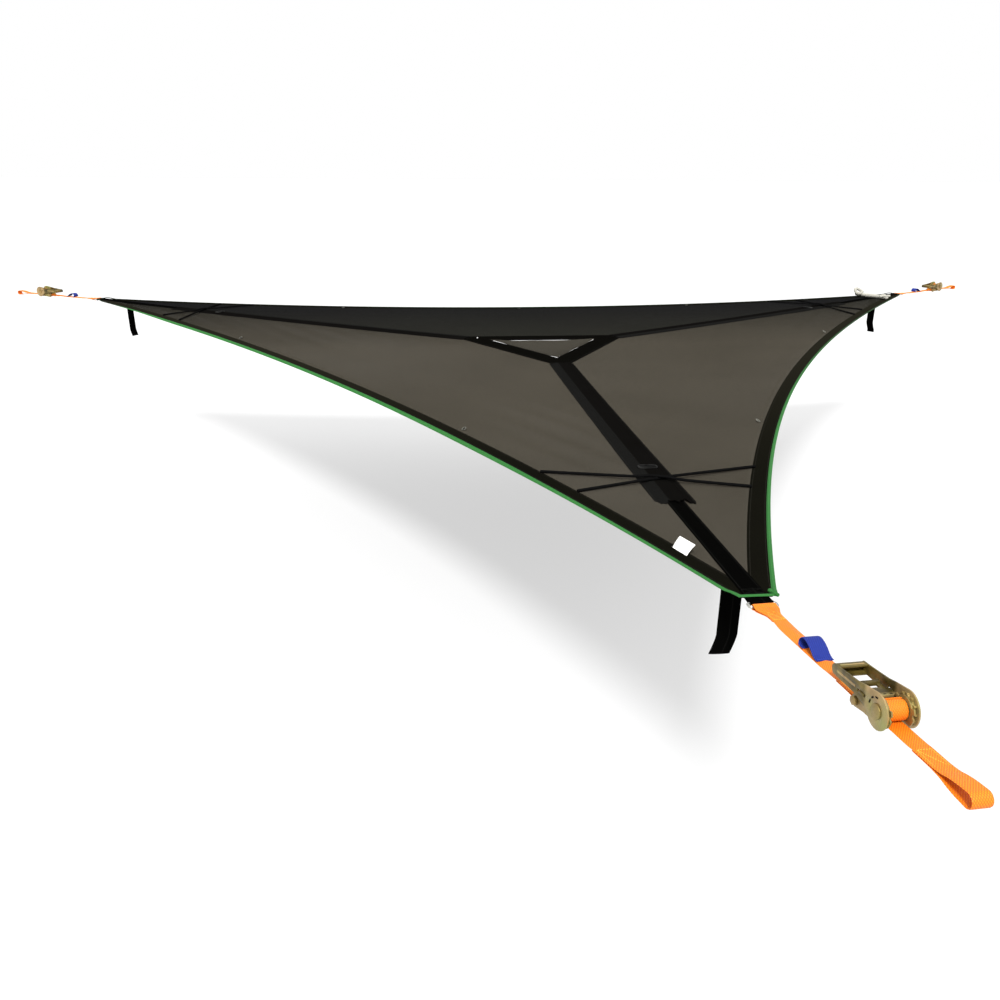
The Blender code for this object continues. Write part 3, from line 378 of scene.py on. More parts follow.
def banded(
    outer: Array,
    inner: Array,
    rows: int,
    bottom: float,
    top: float,
    along: Array,
    relief: Relief | None = None,
) -> Shell:
    """A sewn layer between two plan lines, with its top and underside at heights over the dish.

    Args:
        outer: plan points of one side.
        inner: plan points of the other side, as many.
        rows: how many strips lie between the sides.
        bottom: height of the underside over the dish.
        top: height of the upper side over the dish.
        along: texture coordinate of each station.
        relief: optional function of x, y and the share across that adds height to both sides.

    Returns:
        A closed shell whose first texture coordinate is the distance from the outer side.
    """
    share, height = web_profile(rows, top - bottom)
    share = share + 0.5
    plan = outer[:, None, :] * (1.0 - share[:, None]) + inner[:, None, :] * share[:, None]
    z = dish(plan[..., 0], plan[..., 1]) + (top + bottom) / 2 + height
    if relief is not None:
        z = z + relief(plan[..., 0], plan[..., 1], share)
    width = np.linalg.norm(inner - outer, axis=1)[:, None]
    across = np.concatenate([share, share[:1]]) * width
    return ringed(raised(plan, z), np.concatenate([across, across[-1:]]), along)


def tape(
    line: Array, width: float | Array, thickness: float, rows: int = 14, relief: Relief | None = None
) -> Shell:
    """A strap laid along a line of the side view.

    Args:
        line: points x and z of the strap's middle.
        width: width in metres, one for all or one per point.
        thickness: thickness in metres.
        rows: strips across the strap.
        relief: optional function of distance along and share across that lifts the surface.

    Returns:
        A closed shell in the local frame, with the strap's width along Y.
    """
    length = arc_length(line)
    tangent = np.gradient(line, axis=0)
    tangent /= np.linalg.norm(tangent, axis=1, keepdims=True)
    normal = np.stack([-tangent[:, 1], tangent[:, 0]], axis=-1)
    share, height = web_profile(rows, thickness)
    width = np.broadcast_to(np.asarray(width, float), (len(line),))
    rise = np.broadcast_to(height, (len(line), len(height)))
    if relief is not None:
        rise = rise + relief(length[:, None], share[None, :])
    flat = line[:, None, :] + normal[:, None, :] * rise[..., None]
    rings = spatial(flat[..., 0], share[None, :] * width[:, None], flat[..., 1])
    across = np.concatenate([share, share[:1]])[None, :] * width[:, None]
    return ringed(rings, np.concatenate([across, across[-1:]]), length)


def rod(
    line: Array,
    radius: float | Array,
    sides: int = 12,
    looped: bool = False,
    relief: Relief | None = None,
) -> Shell:
    """A round piece along a line in space, its rings kept from twisting.

    Args:
        line: points of the middle.
        radius: radius in metres, one for all or one per point.
        sides: facets round the piece, an even number.
        looped: whether the line closes.
        relief: optional function of distance along and angle that scales the radius.

    Returns:
        A closed shell; texture coordinates are metres round and along.
    """
    line = np.asarray(line, float)
    if looped:
        tangent = np.roll(line, -1, axis=0) - np.roll(line, 1, axis=0)
        length = arc_length(np.concatenate([line, line[:1]]))
    else:
        tangent = np.gradient(line, axis=0)
        length = arc_length(line)
    tangent /= np.linalg.norm(tangent, axis=1, keepdims=True)
    guide = np.zeros_like(line)
    start = np.array(UP) if abs(tangent[0, 2]) < 0.9 else np.array([1.0, 0.0, 0.0])
    for k, direction in enumerate(tangent):
        start = start - direction * (start @ direction)
        start /= np.linalg.norm(start)
        guide[k] = start
    other = np.cross(tangent, guide)
    angle = np.linspace(0.0, 2.0 * math.pi, sides, endpoint=False)
    radius = np.broadcast_to(np.asarray(radius, float), (len(line),))[:, None]
    stations = length[: len(line)]
    scale = radius * (1.0 if relief is None else relief(stations[:, None], angle[None, :]))
    scale = np.broadcast_to(scale, (len(line), sides))[..., None]
    spoke = guide[:, None] * np.cos(angle)[:, None] + other[:, None] * np.sin(angle)[:, None]
    turn = np.linspace(0.0, 2.0 * math.pi, sides + 1) * float(radius.mean())
    return ringed(line[:, None] + spoke * scale, turn, length, looped)


@dataclass(frozen=True)
class Stitch:
    """One kind of stitch: its spacing, its length, its thread's width and how far it stands up."""

    pitch: float = 0.0042
    length: float = 0.0030
    width: float = 0.0009
    height: float = 0.0007


HATCH_STITCH = Stitch()
HEM_STITCH = Stitch(0.0052, 0.0036)
SLEEVE_STITCH = Stitch(0.0050, 0.0034)
LOOP_STITCH = Stitch(0.0032, 0.0024)
STRAP_STITCH = Stitch(0.0030, 0.0023, 0.0008, 0.0006)
TAB_STITCH = Stitch(0.0028, 0.0022, 0.0008, 0.0006)
LABEL_STITCH = Stitch(0.0030, 0.0022, 0.0006, 0.0005)


def thread_row(line: Array, stitch: Stitch, up: Sequence[float] | Array = UP) -> Shell:
    """A row of stitches along a line in space: one spindle shape, copied to every place at once.

    Args:
        line: points that the stitches follow.
        stitch: the kind of stitch.
        up: direction away from the cloth.

    Returns:
        One shell that holds every stitch.
    """
    place = arc_length(line)
    count = max(int(place[-1] / stitch.pitch), 1)
    middle = (np.arange(count) + 0.5) * place[-1] / count
    behind, centre, ahead = (
        np.stack([np.interp(middle + shift, place, line[:, k]) for k in range(3)], axis=-1)
        for shift in (-1e-4, 0.0, 1e-4)
    )
    direction = ahead - behind
    direction /= np.linalg.norm(direction, axis=1, keepdims=True)
    up = np.broadcast_to(np.asarray(up, float), direction.shape)
    up = up - direction * np.einsum("ij,ij->i", up, direction)[:, None]
    up /= np.linalg.norm(up, axis=1, keepdims=True)
    side = np.cross(up, direction)
    stations = np.linspace(-0.5, 0.5, 5)
    swell = np.sqrt(1.0 - (stations * 1.8) ** 2)[:, None]
    angle = np.linspace(0.0, 2.0 * math.pi, 6, endpoint=False)
    x = stations[:, None] * stitch.length
    y = swell * np.cos(angle) * stitch.width / 2
    z = swell * np.sin(angle) * stitch.height - stitch.height * 0.35
    template = ringed(spatial(x, y, z), np.zeros(7), stations * stitch.length)
    axes = np.stack([direction, side, up], axis=1)
    points = centre[:, None] + template.points @ axes
    offset = np.arange(count)[:, None, None] * len(template.points)
    quads = (template.quads[None] + offset).reshape(-1, 4)
    return Shell(points.reshape(-1, 3), quads, np.tile(template.uv, (count, 1, 1)))


def box_stitches(place: Place, start: float, end: float, height: float, half: float = 0.009) -> list[Shell]:
    """A sewn box with one diagonal.

    Args:
        place: frame of the strap.
        start: distance out at which the box starts.
        end: distance out at which it ends.
        height: height of the cloth's upper side.
        half: half the width of the box.

    Returns:
        One row of stitches for each side and one for the diagonal.
    """
    corners = [(start, -half), (end, -half), (end, half), (start, half), (start, -half), (end, half)]
    corners = np.array(corners)
    share = np.linspace(0.0, 1.0, 20)[:, None]
    lines = [first + (last - first) * share for first, last in zip(corners, corners[1:])]
    return [thread_row(place(raised(line, height)), STRAP_STITCH) for line in lines]


@dataclass
class Graph:
    """Adds shader nodes to one tree and links them."""

    tree: bpy.types.NodeTree

    def feed(self, socket: bpy.types.NodeSocket, value: object) -> None:
        """Sets a socket, or links it where the value is another socket.

        Args:
            socket: the input.
            value: a number, a colour, a vector or an output.
        """
        if isinstance(value, bpy.types.NodeSocket):
            self.tree.links.new(value, socket)
        else:
            socket.default_value = value

    def add(self, kind: str, inputs: dict | None = None, **settings: object) -> bpy.types.Node:
        """A new node.

        Args:
            kind: the node's type.
            inputs: its inputs by name or number.
            **settings: its properties.

        Returns:
            The node.
        """
        made = self.tree.nodes.new(kind)
        for key, value in settings.items():
            setattr(made, key, value)
        for key, value in (inputs or {}).items():
            self.feed(made.inputs[key], value)
        return made

    def math(self, operation: str, *values: object) -> bpy.types.NodeSocket:
        """The result of a maths node.

        Args:
            operation: the node's operation.
            *values: its inputs in order.

        Returns:
            The output.
        """
        made = self.add("ShaderNodeMath", operation=operation)
        for socket, value in zip(made.inputs, values):
            self.feed(socket, value)
        return made.outputs[0]

    def ramp(self, value: object, low: float, high: float, **more: object) -> bpy.types.NodeSocket:
        """A value carried from the range low to high to the range 0 to 1."""
        inputs = {"Value": value, "From Min": low, "From Max": high}
        return self.add("ShaderNodeMapRange", inputs, **more).outputs[0]

    def blend(self, factor: object, first: object, second: object) -> bpy.types.NodeSocket:
        """Two colours mixed."""
        made = self.add("ShaderNodeMix", {0: factor, 6: first, 7: second}, data_type="RGBA")
        return made.outputs[2]

    def noise(self, vector: object, scale: object, detail: float) -> bpy.types.NodeSocket:
        """Smooth noise from 0 to 1."""
        inputs = {"Vector": vector, "Scale": scale, "Detail": detail}
        return self.add("ShaderNodeTexNoise", inputs).outputs["Fac"]

    def parts(self, vector: object) -> Sequence[bpy.types.NodeSocket]:
        """A vector's three coordinates."""
        return self.add("ShaderNodeSeparateXYZ", {"Vector": vector}).outputs

    def places(self) -> bpy.types.NodeSocket:
        """Object coordinates, in metres."""
        return self.add("ShaderNodeTexCoord").outputs["Object"]

    def cloth_places(self) -> bpy.types.NodeSocket:
        """The piece's own texture coordinates, in metres across and along."""
        return self.add("ShaderNodeUVMap", uv_map="Weave").outputs[0]


class Effect(Enum):
    """Effects that several materials share, each a node group of this name."""

    WEAVE = "weave"
    NET = "net"
    WEAR = "wear"
    SEAM = "seam"


def weave_nodes(graph: Graph, given: Sockets) -> Sockets:
    """Over and under threads: a checker picks which of two rounded thread sets lies on top.

    Args:
        graph: the group's graph.
        given: the group's inputs: Vector, and the thread sizes Across and Along.

    Returns:
        Height of the surface, and Over, which is 1 where the first set is on top.
    """
    place = graph.parts(given["Vector"])
    warp, weft = (
        graph.math("SINE", graph.math("MULTIPLY", graph.math("DIVIDE", place[k], given[size]), math.pi))
        for k, size in ((0, "Across"), (1, "Along"))
    )
    over = graph.math("GREATER_THAN", graph.math("MULTIPLY", warp, weft), 0.0)
    lifted = graph.math("MULTIPLY", graph.math("ABSOLUTE", warp), over)
    under = graph.math("SUBTRACT", 1.0, over)
    lowered = graph.math("MULTIPLY", graph.math("ABSOLUTE", weft), under)
    return {"Height": graph.math("ADD", lifted, lowered), "Over": over}


def net_nodes(graph: Graph, given: Sockets) -> Sockets:
    """Open mesh: threads where either of two waves is near its zero, holes between.

    Args:
        graph: the group's graph.
        given: the group's inputs: Vector and Pitch.

    Returns:
        Hole, which is 1 in a hole, and Height of the threads.
    """
    place = graph.parts(given["Vector"])
    waves = []
    for k in range(2):
        scaled = graph.math("MULTIPLY", graph.math("DIVIDE", place[k], given["Pitch"]), math.pi)
        waves.append(graph.math("ABSOLUTE", graph.math("SINE", scaled)))
    hole = graph.math("MULTIPLY", *waves)
    mask = graph.ramp(hole, 0.45, 0.75, interpolation_type="SMOOTHSTEP")
    return {"Hole": mask, "Height": graph.math("SUBTRACT", 1.0, hole)}


def wear_nodes(graph: Graph, given: Sockets) -> Sockets:
    """Slow patches and fine grain from object coordinates, both from 0 to 1.

    Args:
        graph: the group's graph.
        given: the group's inputs: the noise scales Patches and Grain.

    Returns:
        Patch and Grain.
    """
    places = graph.places()
    slow = graph.noise(places, given["Patches"], 4.0)
    return {"Patch": graph.ramp(slow, 0.35, 0.65), "Grain": graph.noise(places, given["Grain"], 2.0)}


def seam_nodes(graph: Graph, given: Sockets) -> Sockets:
    """A dashed line of stitches at a distance across.

    Args:
        graph: the group's graph.
        given: the group's inputs: Vector, Line, Width and Pitch.

    Returns:
        Stitch, which is 1 on a stitch.
    """
    place = graph.parts(given["Vector"])
    away = graph.math("ABSOLUTE", graph.math("SUBTRACT", place[0], given["Line"]))
    inside = graph.math("LESS_THAN", away, given["Width"])
    wave = graph.math("FRACT", graph.math("DIVIDE", place[1], given["Pitch"]))
    return {"Stitch": graph.math("MULTIPLY", inside, graph.math("LESS_THAN", wave, 0.68))}


# Inputs, outputs and maker of each effect's node group
EFFECTS = {
    Effect.WEAVE: (("Vector", "Across", "Along"), ("Height", "Over"), weave_nodes),
    Effect.NET: (("Vector", "Pitch"), ("Hole", "Height"), net_nodes),
    Effect.WEAR: (("Patches", "Grain"), ("Patch", "Grain"), wear_nodes),
    Effect.SEAM: (("Vector", "Line", "Width", "Pitch"), ("Stitch",), seam_nodes),
}


def effect_group(effect: Effect) -> bpy.types.NodeTree:
    """An effect's node group, built on first use and found by name after that.

    Args:
        effect: the effect.

    Returns:
        The group. Its sockets are numbers, apart from the input Vector.
    """
    group = bpy.data.node_groups.get(effect.value)
    if group:
        return group
    group = bpy.data.node_groups.new(effect.value, "ShaderNodeTree")
    inputs, outputs, build = EFFECTS[effect]
    for label in inputs:
        kind = "NodeSocketVector" if label == "Vector" else "NodeSocketFloat"
        group.interface.new_socket(label, in_out="INPUT", socket_type=kind)
    for label in outputs:
        group.interface.new_socket(label, in_out="OUTPUT", socket_type="NodeSocketFloat")
    graph = Graph(group)
    entry = graph.add("NodeGroupInput")
    leave = graph.add("NodeGroupOutput")
    for label, socket in build(graph, entry.outputs).items():
        graph.feed(leave.inputs[label], socket)
    return group


def use_effect(graph: Graph, effect: Effect, **inputs: object) -> Sockets:
    """Places a shared effect in a material.

    Args:
        graph: the material's graph.
        effect: the effect.
        **inputs: values or sockets for the group's inputs.

    Returns:
        The group's outputs.
    """
    made = graph.add("ShaderNodeGroup")
    made.node_tree = effect_group(effect)
    for key, value in inputs.items():
        graph.feed(made.inputs[key], value)
    return made.outputs


def painted_light_gradient(
    graph: Graph,
    colour: bpy.types.NodeSocket,
    painted_light_tone: str,
    between: tuple[float, float],
    rightward_painted_shade: tuple[float, ...] = (),
) -> bpy.types.NodeSocket:
    """A colour that turns to another tone between two places along the hammock's depth: painted light,
    painted shade where the tone is darker and painted sheen where it is lighter.

    Args:
        graph: the material's graph.
        colour: the colour to start from.
        painted_light_tone: hex code of the tone that the painted light turns to.
        between: where the change starts and ends, in metres along y.
        rightward_painted_shade: where a second, weaker painted shade starts and ends, in metres along x.

    Returns:
        The blended colour.
    """
    place = graph.parts(graph.places())
    # painted light: how far the colour turns to the painted light tone, by place along y and x
    painted_light_amount = graph.ramp(place[1], *between)
    if rightward_painted_shade:
        second = graph.math("MULTIPLY", graph.ramp(place[0], *rightward_painted_shade), 0.86)
        painted_light_amount = graph.math("MAXIMUM", painted_light_amount, second)
    return graph.blend(painted_light_amount, colour, srgb(painted_light_tone))


@dataclass(frozen=True)
class Finish:
    """What every surface finish has: its name, its record slot and how rough it is."""

    name: str
    slot: str
    roughness: float

    def material(self) -> bpy.types.Material:
        """The finish's material, built on first use.

        Returns:
            The material.
        """
        found = bpy.data.materials.get(self.name)
        if found:
            return found
        made = bpy.data.materials.new(self.name)
        made.use_nodes = True
        shader = made.node_tree.nodes["Principled BSDF"]
        shader.inputs["Roughness"].default_value = self.roughness
        self.paint(Graph(made.node_tree), shader)
        return made

    def paint(self, graph: Graph, shader: bpy.types.Node) -> None:
        """Fills in the shader; each kind of finish does this its own way."""
        raise NotImplementedError


@dataclass(frozen=True)
class Cloth(Finish):
    """Woven cloth or webbing.

    Thread sizes and stitch lines are in metres. A second colour takes over past a distance across. Painted
    shade darkens the valleys between the threads, and some finishes add painted light along the hammock's
    depth.
    """

    colour: str
    shade: str
    across: float
    along: float = 0.0016
    split: float = 1.0
    second: str = "000000"
    seams: tuple[float, ...] = ()
    thread: str = "303030"
    bump: float = 0.35
    gloss: float = 0.0
    # painted light along the hammock's depth: its tone, its span along y and a weaker span along x
    painted_light_tone: str = ""
    painted_light_span: tuple[float, float] = (0.0, 1.0)
    rightward_painted_shade: tuple[float, ...] = ()
    # painted shade: share by which the valleys between threads darken
    valley_shade: float = 0.45
    fading: float = 0.22

    def paint(self, graph: Graph, shader: bpy.types.Node) -> None:
        """Threads in two tones, with painted shade between them, faded patches, lines of stitches and, on
        some finishes, painted light along the hammock's depth.

        Args:
            graph: the material's graph.
            shader: its Principled shader.
        """
        uv = graph.cloth_places()
        weave = use_effect(graph, Effect.WEAVE, Vector=uv, Across=self.across, Along=self.along)
        wear = use_effect(graph, Effect.WEAR, Patches=9.0, Grain=420.0)
        colour = graph.blend(weave["Over"], srgb(self.colour), srgb(self.shade))
        if self.split < 1.0:
            past = graph.math("GREATER_THAN", graph.parts(uv)[0], self.split)
            colour = graph.blend(past, colour, srgb(self.second))
        # painted shade: the valleys between the threads darken towards the shade colour
        depth = graph.math("MULTIPLY", graph.math("SUBTRACT", 1.0, weave["Height"]), self.valley_shade)
        colour = graph.blend(depth, colour, srgb(self.shade))
        patch = graph.math("MULTIPLY", wear["Patch"], self.fading)
        colour = graph.blend(patch, colour, srgb(self.shade))
        height = graph.math("ADD", weave["Height"], graph.math("MULTIPLY", wear["Grain"], 0.5))
        for line in self.seams:
            seam = use_effect(graph, Effect.SEAM, Vector=uv, Line=line, Width=0.0006, Pitch=0.0045)
            colour = graph.blend(seam["Stitch"], colour, srgb(self.thread))
            height = graph.math("ADD", height, graph.math("MULTIPLY", seam["Stitch"], 1.5))
        # painted light: painted shade on the binding, painted sheen on the side hems
        if self.painted_light_tone:
            colour = painted_light_gradient(graph, colour, self.painted_light_tone, self.painted_light_span, self.rightward_painted_shade)
        bump = graph.add("ShaderNodeBump", {"Strength": self.bump, "Distance": 0.0004, "Height": height})
        graph.feed(shader.inputs["Base Color"], colour)
        graph.feed(shader.inputs["Normal"], bump.outputs[0])
        shader.inputs["Specular IOR Level"].default_value = self.gloss


@dataclass(frozen=True)
class Netting(Finish):
    """Sheer mesh cloth whose holes let a little of the ground show through."""

    colour: str
    shade: str
    pitch: float = 0.0022
    hole: float = 0.80
    # painted shade: the mesh darkens towards the far side of the hammock
    painted_light_tone: str = "1f1e1a"
    painted_light_span: tuple[float, float] = (0.0, 0.98)
    fading: float = 0.30

    def paint(self, graph: Graph, shader: bpy.types.Node) -> None:
        """Threads lighter than the holes, which are partly see-through, with faded patches and painted shade
        that deepens towards the far side.

        Args:
            graph: the material's graph.
            shader: its Principled shader.
        """
        net = use_effect(graph, Effect.NET, Vector=graph.cloth_places(), Pitch=self.pitch)
        wear = use_effect(graph, Effect.WEAR, Patches=2.2, Grain=160.0)
        base = graph.blend(net["Height"], srgb(self.shade), srgb(self.colour))
        patch = graph.math("MULTIPLY", wear["Patch"], self.fading)
        worn = graph.blend(patch, base, srgb(self.shade))
        # painted shade towards the far side
        colour = painted_light_gradient(graph, worn, self.painted_light_tone, self.painted_light_span)
        alpha = graph.math("SUBTRACT", 1.0, graph.math("MULTIPLY", net["Hole"], 1.0 - self.hole))
        height = {"Strength": 0.25, "Distance": 0.0003, "Height": net["Height"]}
        graph.feed(shader.inputs["Base Color"], colour)
        graph.feed(shader.inputs["Alpha"], alpha)
        graph.feed(shader.inputs["Normal"], graph.add("ShaderNodeBump", height).outputs[0])
        shader.inputs["Specular IOR Level"].default_value = 0.0


@dataclass(frozen=True)
class Plated(Finish):
    """Pressed or drawn steel with a plated skin that is uneven and a little scratched."""

    colour: str
    shade: str
    accent: str
    metallic: float
    gloss: float = 0.5
    # painted shade on the handle's arms: their two tones, and where along the buckle they take over
    shaded_arm: str = ""
    shaded_arm_dark: str = ""
    shaded_arm_between: tuple[float, float] = (-0.031, -0.024)

    def paint(self, graph: Graph, shader: bpy.types.Node) -> None:
        """Patches of two tones and a tinge of a third, under fine scratches; on the handle, painted shade
        darkens the arms.

        Args:
            graph: the material's graph.
            shader: its Principled shader.
        """
        places = graph.places()
        wear = use_effect(graph, Effect.WEAR, Patches=38.0, Grain=900.0)
        tinge = graph.ramp(graph.noise(places, 16.0, 2.0), 0.5, 0.72)
        base = graph.blend(wear["Patch"], srgb(self.colour), srgb(self.shade))
        colour = graph.blend(tinge, base, srgb(self.accent))
        # painted shade: past the cheek the arms take darker tones
        if self.shaded_arm:
            past = graph.ramp(graph.parts(graph.cloth_places())[0], *self.shaded_arm_between)
            shaded_limb = graph.blend(wear["Patch"], srgb(self.shaded_arm), srgb(self.shaded_arm_dark))
            colour = graph.blend(past, shaded_limb, colour)
        stretch = graph.add("ShaderNodeMapping", {"Vector": places, "Scale": (90.0, 90.0, 2200.0)})
        scratch = graph.noise(stretch.outputs[0], 1.0, 2.0)
        spread = {"Value": scratch, "To Min": self.roughness - 0.10, "To Max": self.roughness + 0.14}
        height = graph.math("ADD", scratch, wear["Grain"])
        bump = graph.add("ShaderNodeBump", {"Strength": 0.12, "Distance": 0.0002, "Height": height})
        graph.feed(shader.inputs["Base Color"], colour)
        graph.feed(shader.inputs["Roughness"], graph.add("ShaderNodeMapRange", spread).outputs[0])
        graph.feed(shader.inputs["Normal"], bump.outputs[0])
        shader.inputs["Metallic"].default_value = self.metallic
        shader.inputs["Specular IOR Level"].default_value = self.gloss


MESH = Netting("sheer_mesh", "mesh_fabric", 0.80, colour="433f37", shade="302d27")
# painted shade: the far panel is a darker, more opaque copy of the same mesh, with more painted shade towards
# its far edge
FAR_MESH_PAINTED_SHADE = Netting(
    "shaded_mesh", "mesh_fabric", 0.80, colour="22221e", shade="181816", hole=0.94, painted_light_tone="131314",
    painted_light_span=(0.3, 1.1),
)
FLAP = Netting("flap_mesh", "mesh_fabric", 0.80, colour="3d3a33", shade="2a2824", hole=0.90)
HEM = Cloth(
    "hem_cloth", "hem_fabric", 0.85, colour="13130d", shade="0a0907", across=0.0008,
    along=0.0008, seams=(0.004, 0.0325), thread="23221d", bump=0.2,
)
# painted sheen: the side hems turn lighter towards the far side
SIDE_HEM_PAINTED_SHEEN = replace(HEM, name="side_hem_painted_sheen", painted_light_tone="1a1913", painted_light_span=(-1.6, -0.2))
# painted shade: the binding darkens along the far edge and, more weakly, towards the right
BINDING_GREEN = Cloth(
    "binding_tape", "binding_green", 0.65, colour="3b743a", shade="225c28", across=0.0008,
    along=0.0011, seams=(0.0062,), thread="1e5525", bump=0.5, gloss=0.06, painted_light_tone="13200e",
    painted_light_span=(0.86, 1.0), rightward_painted_shade=(0.45, 1.40),
)
BLACK_WEB = Cloth(
    "black_webbing", "webbing_black", 0.85, colour="080807", shade="020202", across=0.0017,
    along=0.0024, bump=0.35, seams=(0.0035, 0.0345), thread="161615",
)
SLEEVE_CLOTH = Cloth(
    "sleeve_cloth", "webbing_black", 0.85, colour="181817", shade="0f0f0e", across=0.0010,
    along=0.0012, split=0.031, second="090807", seams=(0.003, 0.082), thread="232220", bump=0.25,
)
BAND_CLOTH = Cloth(
    "band_webbing", "webbing_black", 0.85, colour="0b0a08", shade="050504", across=0.0020,
    along=0.0026, bump=0.3, seams=(0.004, 0.076), thread="191918",
)
ORANGE_WEB = Cloth(
    "orange_webbing", "webbing_orange", 0.55, colour="ea8a14", shade="d2600c", across=0.0016,
    along=0.0022, bump=0.55, gloss=0.3,
)
BLUE_WEB = Cloth(
    "blue_webbing", "webbing_orange", 0.55, colour="283a93", shade="182468", across=0.0014,
    along=0.0020, bump=0.55, gloss=0.12,
)
WHITE_CLOTH = Cloth(
    "white_cloth", "white_cloth", 0.70, colour="c9c6bc", shade="b8b4a8", across=0.0006,
    along=0.0006, bump=0.3,
)
ROPE_CLOTH = Cloth(
    "tie_cloth", "white_cloth", 0.75, colour="c4c2b8", shade="96948a", across=0.0010,
    along=0.0016, bump=0.8,
)
ELASTIC = Cloth(
    "elastic_cord", "elastic_black", 0.55, colour="171717", shade="070707", across=0.0010,
    along=0.0010, bump=0.7,
)
DARK_THREAD = Cloth("dark_thread", "webbing_black", 0.8, colour="1d1d1b", shade="121211", across=0.0004)
ORANGE_THREAD = Cloth(
    "orange_thread", "webbing_orange", 0.6, colour="ffbe55", shade="d97a1c", across=0.0004
)
BLUE_THREAD = Cloth("blue_thread", "webbing_orange", 0.6, colour="4a5fc4", shade="22327e", across=0.0004)
YELLOW_ZINC = Plated(
    "yellow_zinc", "zinc_steel", 0.42, colour="9a7f4e", shade="6a5629", accent="8a8248", metallic=0.5
)
# painted shade: the handle's arms, past the cheek, take darker tones
HANDLE_ZINC = Plated(
    "handle_zinc", "zinc_steel", 0.40, colour="a88c5f", shade="86704a", accent="8d8a50", metallic=0.45,
    shaded_arm="70602a", shaded_arm_dark="3a3112",
)
EYELET_ZINC = Plated(
    "eyelet_zinc", "bright_steel", 0.45, colour="66665c", shade="2c2c28", accent="9c9c90", metallic=0.4
)
SLIDER_ZINC = Plated(
    "slider_zinc", "bright_steel", 0.60, colour="121211", shade="090908", accent="3a3a38", metallic=0.0,
    gloss=0.12,
)
BRIGHT_ZINC = Plated(
    "bright_zinc", "bright_steel", 0.28, colour="c9c9c6", shade="8e8e8a", accent="d8d6c8", metallic=0.95
)


def mesh_of(name: str, shell: Shell, smooth: float) -> bpy.types.Mesh:
    """A shell as a mesh.

    Args:
        name: the mesh's name.
        shell: its surface.
        smooth: edges sharper than this many degrees stay sharp.

    Returns:
        The mesh, with the layer Weave for its texture coordinates.
    """
    mesh = bpy.data.meshes.new(name)
    mesh.vertices.add(len(shell.points))
    mesh.vertices.foreach_set("co", np.asarray(shell.points, np.float32).ravel())
    count = len(shell.quads)
    mesh.loops.add(count * 4)
    mesh.loops.foreach_set("vertex_index", np.asarray(shell.quads, np.int32).ravel())
    mesh.polygons.add(count)
    mesh.polygons.foreach_set("loop_start", np.arange(0, count * 4, 4, dtype=np.int32))
    mesh.update(calc_edges=True)
    layer = mesh.uv_layers.new(name="Weave")
    layer.data.foreach_set("uv", np.asarray(shell.uv, np.float32).ravel())
    mesh.polygons.foreach_set("use_smooth", np.ones(count, bool))
    mesh.set_sharp_from_angle(angle=math.radians(smooth))
    return mesh


@dataclass(frozen=True)
class Placement:
    """A frame whose +X points outwards at a corner: turned, swung, tipped and moved along the strap."""

    angle: float
    swing: float = 0.0
    rise: float = 0.0
    radius: float = 0.0
    reach: float = 0.0
    height: float = 0.0

    def __call__(self, points: Array) -> Array:
        """Carries points from this frame to the hammock's.

        Args:
            points: array whose last axis is x, y and z.

        Returns:
            Array of the same shape.
        """
        turn, tip = math.radians(self.angle + self.swing), math.radians(self.rise)
        origin = polar(self.angle, self.radius)
        x, y, z = points[..., 0] + self.reach, points[..., 1], points[..., 2] + self.height
        out = x * math.cos(tip) - z * math.sin(tip)
        return spatial(
            origin[0] + out * math.cos(turn) - y * math.sin(turn),
            origin[1] + out * math.sin(turn) + y * math.cos(turn),
            x * math.sin(tip) + z * math.cos(tip),
        )


@dataclass
class Assembly:
    """Pieces that belong together on the object; each kind of assembly builds its own."""

    pieces: list[bpy.types.Object] = field(default_factory=list, init=False)

    def build(self) -> None:
        """Makes every piece of the assembly."""
        raise NotImplementedError

    def add(
        self,
        name: str,
        shell: Shell,
        finish: Finish,
        body: str = ROOT,
        stands_for: Sequence[str] = (),
        smooth: float = 42.0,
    ) -> bpy.types.Object:
        """Makes a piece from a shell; the arguments after it are those of place and mesh_of."""
        return self.place(name, mesh_of(name, shell, smooth), finish, body, stands_for)

    def place(
        self,
        name: str,
        mesh: bpy.types.Mesh,
        finish: Finish,
        body: str,
        stands_for: Sequence[str],
    ) -> bpy.types.Object:
        """Links a mesh as a piece of the object and notes it down.

        Args:
            name: the piece's name.
            mesh: its mesh.
            finish: its finish.
            body: CAD body that it moves with.
            stands_for: CAD nodes that it replaces.

        Returns:
            The piece.
        """
        item = bpy.data.objects.new(name, mesh)
        bpy.context.scene.collection.objects.link(item)
        mesh.materials.clear()
        mesh.materials.append(finish.material())
        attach(item, body)
        if stands_for:
            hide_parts(*stands_for)
        self.pieces.append(item)
        return item


@dataclass
class CornerAssembly(Assembly):
    """An assembly that each corner has once."""

    corner: Corner

    def named(self, stem: str) -> str:
        """The name of this corner's piece, node or body."""
        return f"{stem}_{self.corner.value}"

    @property
    def at_corner(self) -> Placement:
        """The corner's own frame, from the hammock's centre."""
        return Placement(ANGLE[self.corner])

    @property
    def at_strap(self) -> Placement:
        """The frame of the ratchet strap, from the ring's outer bar."""
        return Placement(ANGLE[self.corner], SWING[self.corner], RISE[self.corner], PIVOT)

    @property
    def at_ratchet(self) -> Placement:
        """The frame of the ratchet buckle, from its spool's axis."""
        swing, rise = SWING[self.corner], RISE[self.corner]
        return Placement(ANGLE[self.corner], swing, rise, PIVOT, SPOOL, STRAP_DROP)


